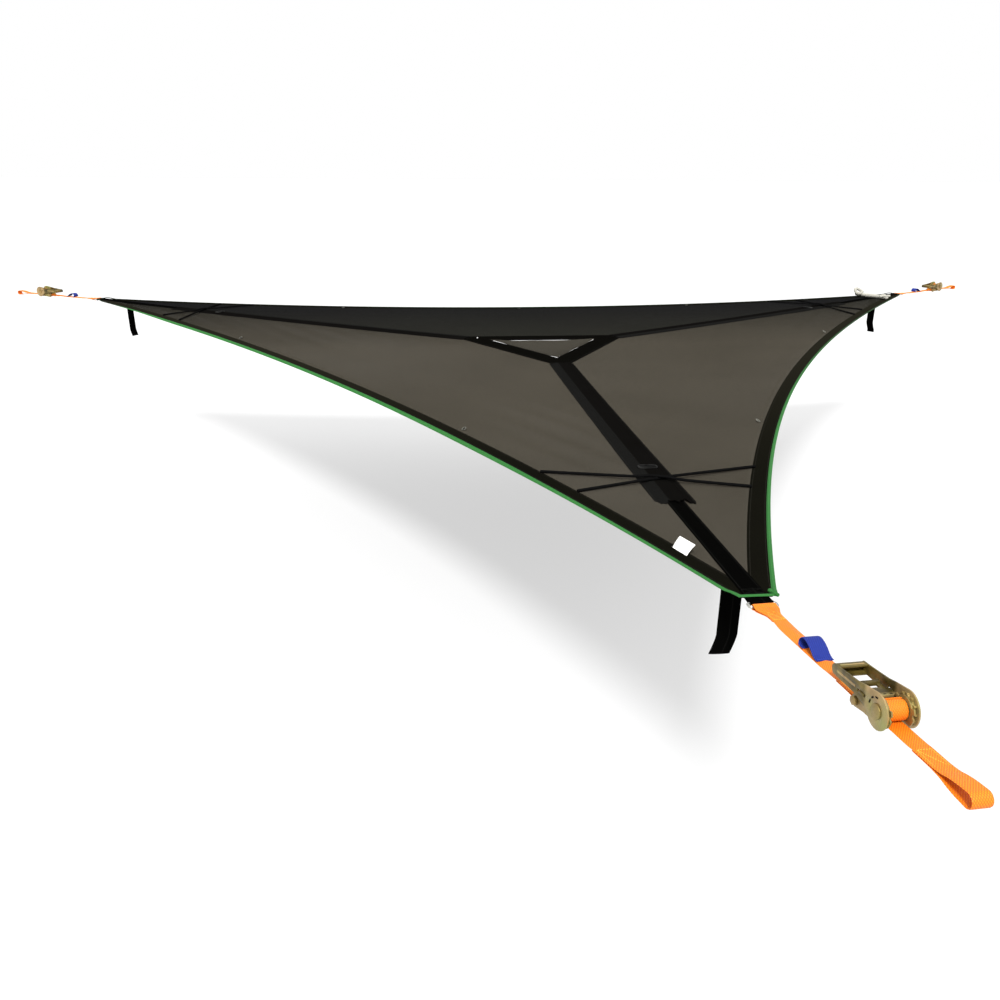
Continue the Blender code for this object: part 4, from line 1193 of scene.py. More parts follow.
@dataclass
class Canopy(Assembly):
    """The fabric triangle: mesh panels, hems, green binding, eyelets, label and their stitching."""

    stations: int = 150
    panel_rows: int = 36
    panel_ends: float = 0.010
    strap_share: float = 0.42
    hem_rows: int = 12
    hem_stitch_insets: tuple[float, float] = (0.004, 0.0325)
    binding_angles: tuple[int, ...] = (180, 150, 120, 90, 60, 35, 10, -10, -35, -60, -90, -120, -150)
    binding_steps: int = 260
    corner_steps: int = 9
    binding_tape: float = 0.020
    droop: float = 0.0072
    eyelet_inset: float = 0.060
    eyelet_radius: float = 0.0058
    eyelet_wire: float = 0.0012
    eyelet_tilt: float = math.radians(30.0)
    # radius of the flat dark disc of painted shade in each eyelet's hole
    hole_shade_radius: float = 0.0046
    stud_place: float = 0.300
    label_start: tuple[float, float] = (-0.0785, -2.074)
    label_end: tuple[float, float] = (-0.0635, -2.115)
    label_length: float = 0.0245
    label_width: float = 0.042
    label_tilt: float = math.radians(50.0)

    def build(self) -> None:
        """Makes every piece of the triangle."""
        for edge in Edge:
            self.panel(edge)
            self.hem(edge)
        self.binding()
        self.binding_end()
        self.stud()
        self.eyelets()
        self.label()

    def shares(self, edge: Edge) -> Array:
        """Shares of an edge between the points where its panel starts and ends.

        Args:
            edge: the edge.

        Returns:
            Array of shares, evenly spread.
        """
        start = bisector_share(edge, PANEL_INSET, SEAM_GAP / 2)
        inner = np.linspace(self.panel_ends, 1.0 - self.panel_ends, self.stations)
        return start + (1.0 - 2.0 * start) * inner

    def panel(self, edge: Edge) -> None:
        """One mesh panel, ruled from its hem to two straps and the hatch, with faint ripples.

        Its inner line runs along the first strap, then along the hatch, then along the second strap.

        Args:
            edge: the panel's edge.
        """
        start, end = end_angles(edge)
        shares = self.shares(edge)
        outer = edge_line(edge, shares, PANEL_INSET)
        tip = abs(outer[0] @ polar(start, 1.0))
        side = SEAM_GAP / 2
        strap = np.minimum(shares, 1.0 - shares) / self.strap_share
        radial = tip + (HATCH_RADIUS - tip) * np.minimum(strap, 1.0)
        first_half = shares[:, None] < 0.5
        near_strap = np.where(first_half, polar(start, radial, side), polar(end, radial, -side))
        along = np.clip((shares - 0.5) / (1.0 - 2.0 * self.strap_share) + 0.5, 0.0, 1.0)[:, None]
        hatch_start, hatch_end = polar(start, HATCH_RADIUS, side), polar(end, HATCH_RADIUS, -side)
        hatch = hatch_start + (hatch_end - hatch_start) * along
        inner = np.where(strap[:, None] < 1.0, near_strap, hatch)
        outward = polar(OUTWARD[edge], 1.0)
        chord = np.array([-outward[1], outward[0]])

        def ripple(x: Array, y: Array, share: Array) -> Array:
            """Fine waves where the straps pull, and slow ones all over; both fade at the sides.

            Args:
                x: the points' first coordinate.
                y: their second coordinate.
                share: their share across the panel.

            Returns:
                Height to add.
            """
            depth = x * outward[0] + y * outward[1]
            run = x * chord[0] + y * chord[1]
            fade = np.sin(math.pi * np.clip(share, 0.0, 1.0)) ** 1.5
            pull = np.exp(-((np.abs(run) - 1.15) ** 2) / 0.30)
            wave = np.sin(depth * 62.0 + 1.6 * np.sin(run * 2.3))
            slow = np.sin(run * 3.1 + depth * 9.0)
            return fade * (0.0011 * pull * wave + 0.0016 * slow)

        half = PANEL_THICK / 2
        shell = banded(outer, inner, self.panel_rows, -half, half, arc_length(outer), ripple)
        flat = shell.points[:, :2] @ np.stack([chord, outward], axis=-1)
        shell = Shell(shell.points, shell.quads, flat[shell.quads])
        # the far panel takes the copy with painted shade
        finish = FAR_MESH_PAINTED_SHADE if edge is Edge.FAR else MESH
        item = self.add(
            f"mesh_panel_cloth_{edge.value}", shell, finish, stands_for=[f"mesh_panel_{edge.value}"]
        )

    def hem_lines(self, edge: Edge) -> tuple[Array, Array]:
        """The two plan lines of a hem, cut at each corner's bisector.

        Args:
            edge: the hem's edge.

        Returns:
            The outer line, which takes in half of each corner's flat end, and the inner line.
        """
        start, end = end_angles(edge)
        shares = self.shares(edge)
        flat = CORNER_RADIUS - HEM_OUTER
        half = corner_half_width(HEM_OUTER)
        cross = bisector_share(edge, HEM_INNER, GAP / 2)
        outer = np.concatenate(
            [
                [polar(start, flat, GAP / 2), polar(start, flat, half)],
                edge_line(edge, shares, HEM_OUTER),
                [polar(end, flat, -half), polar(end, flat, -GAP / 2)],
            ]
        )
        ends = np.array([cross, (cross + shares[0]) / 2])
        inner_shares = np.concatenate([ends, shares, 1.0 - ends[::-1]])
        return outer, edge_line(edge, inner_shares, HEM_INNER)

    def hem(self, edge: Edge) -> None:
        """A dark hem with its two stitch lines.

        Args:
            edge: the hem's edge.
        """
        outer, inner = self.hem_lines(edge)
        half = HEM_THICK / 2

        def pucker(x: Array, y: Array, share: Array) -> Array:
            """Short waves along the hem that fade at its sides."""
            run = (x * 1.7 + y * 2.3) * 55.0
            return 0.00012 * np.sin(run) * np.sin(math.pi * np.clip(share, 0.0, 1.0))

        shell = banded(outer, inner, self.hem_rows, -half, half, arc_length(outer), pucker)
        # the side hems take the copy with painted sheen
        finish = HEM if edge is Edge.FAR else SIDE_HEM_PAINTED_SHEEN
        self.add(f"hem_cloth_{edge.value}", shell, finish, stands_for=[f"hem_{edge.value}"])
        shares = np.linspace(0.014, 0.986, 400)
        rows = []
        for inset in self.hem_stitch_insets:
            plan = edge_line(edge, shares, HEM_OUTER + inset)
            line = raised(plan, dish(plan[:, 0], plan[:, 1]) + half)
            rows.append(thread_row(line, HEM_STITCH))
        self.add(f"hem_stitches_{edge.value}", joined(rows), DARK_THREAD)

    def binding(self) -> None:
        """The green binding: a folded tape with a rounded outer side, all the way round.

        Its rings are flattened circles. They rise over the webbing at each corner, and their outer side
        droops along the left edge, which shows a band of green there.
        """
        angle = np.radians(np.array(self.binding_angles))
        offset = BINDING / 2 * (1.0 - np.cos(angle))
        height = BINDING_THICK / 2 * np.sin(angle) * (0.75 + 0.25 * np.abs(np.sin(angle)))
        shares = np.linspace(0.0015, 0.9985, self.binding_steps)
        hang = ease(0.06, 0.20, shares) * (1.0 - ease(0.72, 0.97, shares))
        level = np.zeros(self.binding_steps)
        droop = [
            part
            for edge in Edge
            for part in (np.zeros(self.corner_steps), hang if edge is Edge.LEFT else level)
        ]
        lines = []
        for inset in BINDING - offset:
            half = corner_half_width(inset)
            across = np.linspace(-half, half, self.corner_steps)
            loop = [
                part
                for edge in Edge
                for part in (
                    polar(end_angles(edge)[0], CORNER_RADIUS - inset, across),
                    edge_line(edge, shares, inset),
                )
            ]
            lines.append(np.concatenate(loop))
        plan = np.stack(lines, axis=1)
        z = dish(plan[..., 0], plan[..., 1]) + height
        z = z - self.droop * np.concatenate(droop)[:, None] * (offset / BINDING)[None, :] ** 1.5
        for outwards in ANGLE.values():
            depth = CORNER_RADIUS - plan @ polar(outwards, 1.0)
            z = z + BINDING_LIFT * (1.0 - ease(0.010, 0.046, depth))
        rings = raised(plan, z)
        middle = rings.mean(axis=1)
        along = arc_length(np.concatenate([middle, middle[:1]]))
        across = np.linspace(0.0, self.binding_tape, len(angle) + 1)
        shell = ringed(rings, across, along, looped=True)
        self.add("binding_tape", shell, BINDING_GREEN, stands_for=["edge_binding"])

    def binding_end(self) -> None:
        """The binding's rolled end, which sticks out a little at the near corner."""
        points = [(-0.020, 0.0250, 0.0052), (-0.006, 0.0290, 0.0062), (0.0015, 0.0312, 0.0068)]
        path = smoothed([(CORNER_RADIUS + x, y, z) for x, y, z in points], 0.0015)
        shell = rod(path, 0.0034 + 0.0004 * np.sin(arc_length(path) * 500.0))
        self.add("binding_end", shell.moved(Placement(ANGLE[Corner.NEAR])), BINDING_GREEN)

    def eyelets(self) -> None:
        """Small pressed eyelets just inside the hems: wire rings tipped up on their inner side, each with a
        flat dark disc of painted shade in its hole.
        """
        rings, hole_shades = [], []
        turn = np.linspace(0.0, 2.0 * math.pi, 37)[:-1, None]
        rise, run = math.sin(self.eyelet_tilt), math.cos(self.eyelet_tilt)
        spots = [
            (Edge.RIGHT, 0.2935), (Edge.RIGHT, 0.690), (Edge.FAR, 0.2925), (Edge.FAR, 0.501),
            (Edge.FAR, 0.710), (Edge.LEFT, 0.312), (Edge.LEFT, 0.7135),
        ]
        for edge, share in spots:
            insets = np.array([self.eyelet_inset, self.eyelet_inset + 0.001])
            spot, further = edge_line(edge, [share, share], insets)
            across = np.array([*((further - spot) / 0.001 * run), rise])
            along = np.array([across[1], -across[0], 0.0]) / run
            facing = np.cross(along, across)
            rest = PANEL_THICK / 2 + 0.0008 + self.eyelet_radius * rise
            middle = raised(spot, dish(*spot) + rest)
            circle = middle + self.eyelet_radius * (np.cos(turn) * along + np.sin(turn) * across)
            rings.append(rod(circle, self.eyelet_wire, 10, looped=True))
            # painted shade: a flat dark disc in the eyelet's hole
            hole_shade = rod(middle + np.array([[-0.0015], [0.0], [0.0015]]) * along, self.hole_shade_radius, 16)
            off = (hole_shade.points - middle) @ facing
            hole_shades.append(Shell(hole_shade.points - 0.88 * off[:, None] * facing, hole_shade.quads, hole_shade.uv))
        self.add("hem_eyelets", joined(rings), EYELET_ZINC)
        self.add("hem_eyelet_hole_shades", joined(hole_shades), DARK_THREAD)

    def stud(self) -> None:
        """The round stud at the hatch's left corner: a short rod that swells in its middle."""
        x, y = polar(ANGLE[Corner.LEFT], self.stud_place)
        line = spatial(x + np.array([-0.0030, -0.0015, 0.0015, 0.0030]), y, dish(x, y) + 0.0061)
        self.add("hatch_stud", rod(line, np.array([0.0022, 0.0036, 0.0036, 0.0022]), 14), BRIGHT_ZINC)

    def label(self) -> None:
        """The bare care label: a white tag that stands at a tilt, with a soft bow."""
        start, end = np.array(self.label_start), np.array(self.label_end)
        along = (end - start) / np.linalg.norm(end - start)
        inward = np.array([-along[1], along[0]])
        middle = (start + end) / 2 + 0.003 * inward
        foot = dish(*middle) + HEM_THICK / 2 + 2 * GAP
        rise, run = math.sin(self.label_tilt), math.cos(self.label_tilt)
        length = np.linspace(0.0, self.label_length, 15)
        bow = 0.0012 * np.sin(length / self.label_length * math.pi)
        line = np.stack([length * run - bow * rise, length * rise + bow * run], axis=-1)
        shell = tape(line, self.label_width + 0.16 * length, 0.0007)

        def place(points: Array) -> Array:
            """Carries points from the label's own frame to the hem."""
            flat = points[..., 0, None] * inward + points[..., 1, None] * along + middle
            return raised(flat, points[..., 2] + foot)

        self.add("label_tag", shell.moved(place), WHITE_CLOTH, stands_for=["care_label"])
        sewn = place(spatial(0.0035, np.linspace(-0.019, 0.019, 30), 0.0052))
        facing = (*(-inward * rise), run)
        self.add("label_stitches", thread_row(sewn, LABEL_STITCH, facing), DARK_THREAD)


@dataclass
class BodyStrap(CornerAssembly):
    """What lies along one bisector: webbing, its wide sleeve, slider and crossed cords."""

    sleeve_thick: float = 0.0013
    sleeve_foot: float = 0.0016
    arch_start: float = 0.0205
    arch_end: float = 0.031
    fray_start: float = 1.79
    slider_place: float = 1.588
    slider_wire: float = 0.0016
    slider_half: tuple[float, float] = (0.0115, 0.0213)
    slider_cut: tuple[float, float] = (0.0065, 0.0165)
    cord_diameter: float = 0.0066
    cord_start: tuple[float, float] = (1.600, 0.249)
    cord_end: tuple[float, float] = (1.744, 0.190)
    cord_crossing: float = 1.682
    cord_rest: float = 0.0475

    def build(self) -> None:
        """Makes the pieces of one bisector."""
        self.webbing()
        self.sleeve()
        self.sleeve_stitches()
        self.slider()
        self.cords()

    def webbing(self) -> None:
        """The 38 mm webbing on the fabric."""
        out = np.linspace(HATCH_CUT + 2 * GAP, CORNER_RADIUS - LOOP_LAP - GAP, 120)
        left, right = (np.stack([out, np.full(120, side)], axis=-1) for side in (-BODY_WEB / 2, BODY_WEB / 2))
        shell = banded(left, right, 10, STRAP_BOTTOM, STRAP_TOP, out - out[0]).moved(self.at_corner)
        self.add(self.named("body_webbing"), shell, BLACK_WEB, stands_for=[self.named("body_strap")])

    def arch(self, y: float | Array) -> Array:
        """Share of its full height that the sleeve has at a distance across."""
        return 1.0 - ease(self.arch_start, self.arch_end, np.abs(y))

    def sleeve(self) -> None:
        """The wide two-tone sleeve, arched over the strap, with a loose ragged mouth."""
        share, height = web_profile(40, self.sleeve_thick)
        y = share * SLEEVE_WIDTH
        straight = np.linspace(HATCH_CUT + 2 * GAP, self.fray_start - 0.010, 110)
        out = np.concatenate([straight, np.linspace(self.fray_start - 0.005, SLEEVE_MOUTH, 34)])
        low = self.sleeve_foot + (SLEEVE_TOP - 0.0007 - self.sleeve_foot) * self.arch(y)
        mouth = ease(self.fray_start, SLEEVE_MOUTH, out)[:, None]
        ragged = 0.007 * np.sin(y * 210.0 + 0.8) + 0.004 * np.sin(y * 520.0)
        lift = mouth * (0.0016 + 0.0018 * np.sin(y * 95.0 + 1.0))
        x = out[:, None] + mouth**2 * (ragged - 0.010)
        wave = 0.0003 * np.sin(out[:, None] * 41.0) * np.cos(y * 60.0)
        z = dish(x, y) + low + height + lift + wave
        across = np.concatenate([y, y[:1]]) + SLEEVE_WIDTH / 2
        shell = ringed(spatial(x, y, z), across, np.concatenate([out, out[-1:]]))
        self.add(
            self.named("sleeve_cloth"),
            shell.moved(self.at_corner),
            SLEEVE_CLOTH,
            stands_for=[self.named("strap_sleeve")],
        )

    def sleeve_stitches(self) -> None:
        """Stitches along the sleeve's two sides and along the line where its tone changes."""
        half = SLEEVE_WIDTH / 2
        out = np.linspace(HATCH_CUT + 0.01, 1.77, 500)
        rows = []
        for side in (-half + 0.003, half - 0.003, -half + 0.031):
            rise = 0.0023 + (SLEEVE_TOP - 0.0023) * self.arch(side)
            line = spatial(out, side, dish(out, side) + rise)
            rows.append(thread_row(self.at_corner(line), SLEEVE_STITCH))
        self.add(self.named("sleeve_stitches"), joined(rows), DARK_THREAD)

    def slider(self) -> None:
        """A three-bar slider of bent wire, on the sleeve: an oblong with cut corners and a middle bar."""
        middle = self.slider_place
        z = dish(middle, 0.0) + SLEEVE_TOP + GAP + self.slider_wire
        (a, d), (c, b) = self.slider_half, self.slider_cut
        turns = [(-a, -b), (-a, b), (-c, d), (c, d), (a, b), (a, -b), (c, -d), (-c, -d), (-a, -b), (-a, b)]
        loop = smoothed([(middle + x, y) for x, y in turns], 0.0012, rounds=2)[4:-4]
        bar = spatial(middle, np.linspace(-d, d, 24), z + 0.0004)
        shells = [rod(raised(loop, z), self.slider_wire, 10), rod(bar, 0.0015, 10)]
        self.add(
            self.named("slider"),
            joined(shells).moved(self.at_corner),
            SLIDER_ZINC,
            stands_for=[self.named("slider_buckle")],
        )

    def cord_path(self, sign: float, lift: float) -> Array:
        """The line of one cord: straight in plan, level over the sleeve and down to the hems.

        Args:
            sign: 1 for the first cord, -1 for its mirror image.
            lift: how far it rises over the other cord where they cross.

        Returns:
            Points in the corner's frame.
        """
        (first_out, first), (last_out, last) = self.cord_start, self.cord_end
        rest = self.cord_rest
        across = np.array([first, 0.16, 0.0775, rest, 0.0, -rest, -0.0775, -0.13, -last])
        radial = first_out + (last_out - first_out) * (first - across) / (first + last)
        reach = np.maximum(0.0, (np.abs(across) - rest) / (np.where(across > 0, first, last) - rest))
        half = self.cord_diameter / 2
        top = dish(self.cord_crossing, 0.0) + SLEEVE_TOP + GAP + half
        low = np.where(across > 0, dish(*self.cord_start), dish(*self.cord_end))
        low = low + HEM_THICK / 2 + GAP + half
        bulge = lift * np.exp(-((across / 0.022) ** 2))
        line = spatial(radial, sign * across, top * (1.0 - reach) + low * reach + bulge)
        return smoothed(line, 0.004)

    def cords(self) -> None:
        """Two braided elastic cords, crossed over the sleeve."""

        def braid(along: Array, angle: Array) -> Array:
            """Two sets of ribs that wind round the cord in opposite directions."""
            return 1.0 + 0.05 * np.sin(3.0 * angle + along * 900.0) * np.sin(3.0 * angle - along * 900.0)

        for sign, lift, letter in ((1.0, 0.0, "a"), (-1.0, self.cord_diameter + 0.0002, "b")):
            path = self.cord_path(sign, lift)
            shell = rod(path, self.cord_diameter / 2, relief=braid).moved(self.at_corner)
            replaced = [self.named("gear_cords")] if letter == "a" else []
            name = f"{self.named('gear_cord')}_{letter}"
            item = self.add(name, shell, ELASTIC, stands_for=replaced)
            points = self.at_corner(path)
            float(arc_length(points)[-1])


@dataclass
class Hatch(Assembly):
    """The hatch's mitred webbing band and its hinged flap."""

    bottom: float = dish(HATCH_CUT, 0.0) + PANEL_THICK / 2 + 2 * GAP
    mitre_gap: float = 0.0002
    mitre_shares: tuple[float, ...] = (0.0, 0.07, 0.93, 1.0)
    stitch_depths: tuple[float, float] = (0.005, 0.075)
    flap_thick: float = 0.0011
    flap_rows: int = 60
    flap_columns: int = 40
    belly: float = 0.030
    far_sag: float = 0.0062
    tuck: float = 0.0030

    def build(self) -> None:
        """Makes the band's three bars and the flap."""
        for edge in Edge:
            self.bar(edge)
            self.bar_stitches(edge)
        self.flap()

    def bar(self, edge: Edge) -> None:
        """One bar of wide webbing from one bisector to the next, with its outer corners cut off.

        Args:
            edge: the edge that the bar faces.
        """
        start, end = end_angles(edge)
        cut = (2 * (HATCH_IN + HATCH_BAND) - HATCH_CUT) * math.tan(math.radians(30.0))
        gap = self.mitre_gap
        outer = np.concatenate([polar(start, HATCH_CUT, [gap, cut]), polar(end, HATCH_CUT, [-cut, -gap])])
        first, last = polar(start, HATCH_RADIUS, gap), polar(end, HATCH_RADIUS, -gap)
        t = np.linspace(0.0, 1.0, 90)
        line_out = np.stack([np.interp(t, self.mitre_shares, outer[:, k]) for k in range(2)], axis=-1)
        line_in = first + (last - first) * t[:, None]
        share, height = web_profile(20, HATCH_THICK)
        share = share + 0.5
        plan = line_out[:, None] * (1 - share[:, None]) + line_in[:, None] * share[:, None]
        soft = 0.0002 * np.sin(plan[..., 0] * 75.0 + plan[..., 1] * 48.0)
        rings = raised(plan, self.bottom + HATCH_THICK / 2 + height + soft)
        along = arc_length(line_in)
        across = np.concatenate([share, share[:1]]) * HATCH_BAND
        shell = ringed(rings, across, np.concatenate([along, along[-1:]]))
        replaced = ["hatch_band"] if edge is Edge.RIGHT else []
        self.add(f"hatch_bar_{edge.value}", shell, BAND_CLOTH, stands_for=replaced)

    def bar_stitches(self, edge: Edge) -> None:
        """Stitches along the two sides of a bar.

        Args:
            edge: the edge that the bar faces.
        """
        rows = []
        for depth in self.stitch_depths:
            out = HATCH_IN + HATCH_BAND - depth
            span = 0.97 * out * math.sqrt(3.0)
            plan = polar(OUTWARD[edge], out, np.linspace(-span / 2, span / 2, 160))
            plan = plan[np.linalg.norm(plan, axis=1) < HATCH_CUT - 0.006]
            rows.append(thread_row(raised(plan, self.bottom + HATCH_THICK), HATCH_STITCH))
        self.add(f"hatch_stitches_{edge.value}", joined(rows), DARK_THREAD)

    def flap(self) -> None:
        """The sagging mesh flap; it turns on its sewn side.

        Its stations run from the sewn side to the far tip. The height is the level of the band, less a
        belly that is deepest in the middle, less the sag of the far side, with slow waves.
        """
        seam, free = HATCH_IN - 0.0005, HATCH_IN - 0.0025
        spread = (2 * free + seam) / math.sqrt(3.0)
        left, near = polar(OUTWARD[Edge.LEFT], seam, -spread), polar(OUTWARD[Edge.LEFT], seam, spread)
        right = polar(ANGLE[Corner.RIGHT], 2 * free)
        low = self.bottom + HATCH_THICK + GAP + 0.0006
        towards = np.linspace(0.0, 0.994, self.flap_rows)[:, None]
        share, height = web_profile(self.flap_columns, self.flap_thick)
        across = (share + 0.5)[None, :]
        a, b = across * (1.0 - towards), (1.0 - across) * (1.0 - towards)
        plan = near * b[..., None] + left * a[..., None] + right * towards[..., None]
        belly = self.belly * 27.0 * a * b * towards
        far = self.far_sag * 4.0 * a * towards
        tucked = ease(0.0, 0.03, towards) * (1.0 - ease(0.90, 0.99, towards))
        tuck = self.tuck * (1.0 - across) ** 2 * tucked
        wave = 0.0016 * np.sin(plan[..., 0] * 30.0 + plan[..., 1] * 17.0) * np.clip(towards * 4, 0, 1)
        rings = raised(plan, low - belly - far - tuck + height + wave * (1.0 - towards))
        flat_u = np.concatenate([plan[..., 0], plan[:, :1, 0]], axis=1)
        flat_u = np.concatenate([flat_u, flat_u[-1:]])
        along = np.linspace(0.0, 0.35, self.flap_rows)
        shell = ringed(rings, flat_u, np.concatenate([along, along[-1:]]))
        item = self.add("flap_cloth", shell, FLAP, "hatch_flap", ["hatch_flap"])


@dataclass
class CornerTrim(CornerAssembly):
    """One corner's webbing loop, steel ring, hanging strap and the thread that holds them."""

    ring_half: float = 0.020 + RING_WIRE
    ring_bend: float = 0.0032
    loop_foot: float = 0.020
    loop_back: float = 0.100
    stitch_half: float = 0.0165
    hanger_place: dict[Corner, float] = field(
        default_factory=lambda: {Corner.NEAR: 2.185, Corner.RIGHT: 2.110, Corner.LEFT: 2.126}
    )
    hanger_length: dict[Corner, float] = field(
        default_factory=lambda: {Corner.NEAR: 0.156, Corner.RIGHT: 0.168, Corner.LEFT: 0.156}
    )

    def build(self) -> None:
        """Makes the pieces at the corner's end."""
        self.ring()
        self.loop()
        self.loop_stitches()
        self.hanger()

    def ring(self) -> None:
        """A rectangular ring bent from bright wire, with a slight weld on its outer bar."""
        bend = self.ring_bend
        middle = RING_BAR + RING_SPACING / 2
        points = []
        for out, side, start in ((1, 1, 0.0), (-1, 1, 90.0), (-1, -1, 180.0), (1, -1, 270.0)):
            centre = (middle + out * (RING_SPACING / 2 - bend), side * (self.ring_half - bend))
            points.append(side_arc(bend, start, start + 90.0, 8, centre))
        plan = np.concatenate(points)
        closed = np.concatenate([plan, plan[:1]])
        length = arc_length(closed)
        spots = np.linspace(0.0, length[-1], 121)[:-1]
        line = raised(np.stack([np.interp(spots, length, closed[:, k]) for k in range(2)], axis=-1), 0.0)
        weld = np.exp(-(line[:, 1] ** 2) / 0.0015**2) * (line[:, 0] > middle)
        shell = rod(line, RING_WIRE + 0.00018 * weld, 16, looped=True).moved(self.at_corner)
        self.add(self.named("ring"), shell, BRIGHT_ZINC, stands_for=[self.named("corner_ring")])

    def loop(self) -> None:
        """Black webbing from the body strap, round the ring's inner bar and back underneath."""
        shoulder, base = CORNER_RADIUS - LOOP_LAP, CORNER_RADIUS - self.loop_foot
        back = CORNER_RADIUS - self.loop_back
        ramp = CORNER_RADIUS - BINDING
        bar = RING_BAR - 0.0045
        ply = WEB / 2
        rest = STRAP_BOTTOM + ply
        upper = [
            (shoulder, dish(shoulder, 0.0) + rest), (base, dish(base, 0.0) + rest), (ramp, rest),
            (bar, rest + 0.0003),
        ]
        bend = side_arc(RING_WIRE + GAP + ply, 120.0, -120.0, 16, (RING_BAR, 0.0))
        lower = [
            (bar, -rest - 0.0003), (ramp, -rest), (base, dish(base, 0.0) - rest),
            (back, dish(back, 0.0) - rest),
        ]
        line = smoothed([*upper, *bend, *lower], 0.0012, rounds=2)
        shell = tape(line, BODY_WEB, WEB).moved(self.at_corner)
        self.add(self.named("loop_webbing"), shell, BLACK_WEB, stands_for=[self.named("corner_loop")])

    def loop_stitches(self) -> None:
        """A sewn box with both diagonals where the loop lies on the body strap."""
        start, end = CORNER_RADIUS - LOOP_LAP + 0.004, CORNER_RADIUS - self.loop_foot + 0.003
        half = self.stitch_half
        y = np.linspace(-half, half, 24)
        lines = [spatial(start, y, dish(start, 0.0) + STRAP_TOP)]
        lines.append(spatial(end, y, dish(end, 0.0) + STRAP_TOP + 0.0004))
        x = np.linspace(start, end, 20)
        for side in (-1.0, 1.0):
            lines.append(spatial(x, side * half, dish(x, 0.0) + STRAP_TOP))
            lines.append(spatial(x, side * np.linspace(-half, half, 20), dish(x, 0.0) + STRAP_TOP))
        rows = [thread_row(self.at_corner(line), LOOP_STITCH) for line in lines]
        self.add(self.named("loop_stitches"), joined(rows), DARK_THREAD)

    def hanger(self) -> None:
        """The strap end under the corner: it hangs down, cupped and curling to one side at its tip."""
        radial = self.hanger_place[self.corner]
        top = dish(radial, 0.0) - HEM_THICK / 2 - 2 * GAP
        fall = np.linspace(0.0, self.hanger_length[self.corner], 110)
        line = np.stack([radial + 0.0010 * np.sin(fall * 38.0), top - fall], axis=-1)

        def cupped(along: Array, share: Array) -> Array:
            """The middle stands out from the sides, from a little way down."""
            return 0.0011 * np.sin(math.pi * (share + 0.5)) * np.clip(along * 12.0, 0.0, 1.0)

        shell = tape(line, BODY_WEB, WEB, relief=cupped)
        turned = np.clip(((top - shell.points[:, 2]) / 0.155 - 0.76) / 0.24, 0.0, 1.0)
        shell.points[:, 1] -= 0.001 + 0.011 * turned**1.4
        self.add(
            self.named("hanger_webbing"),
            shell.moved(self.at_corner),
            BLACK_WEB,
            stands_for=[self.named("hanging_strap")],
        )


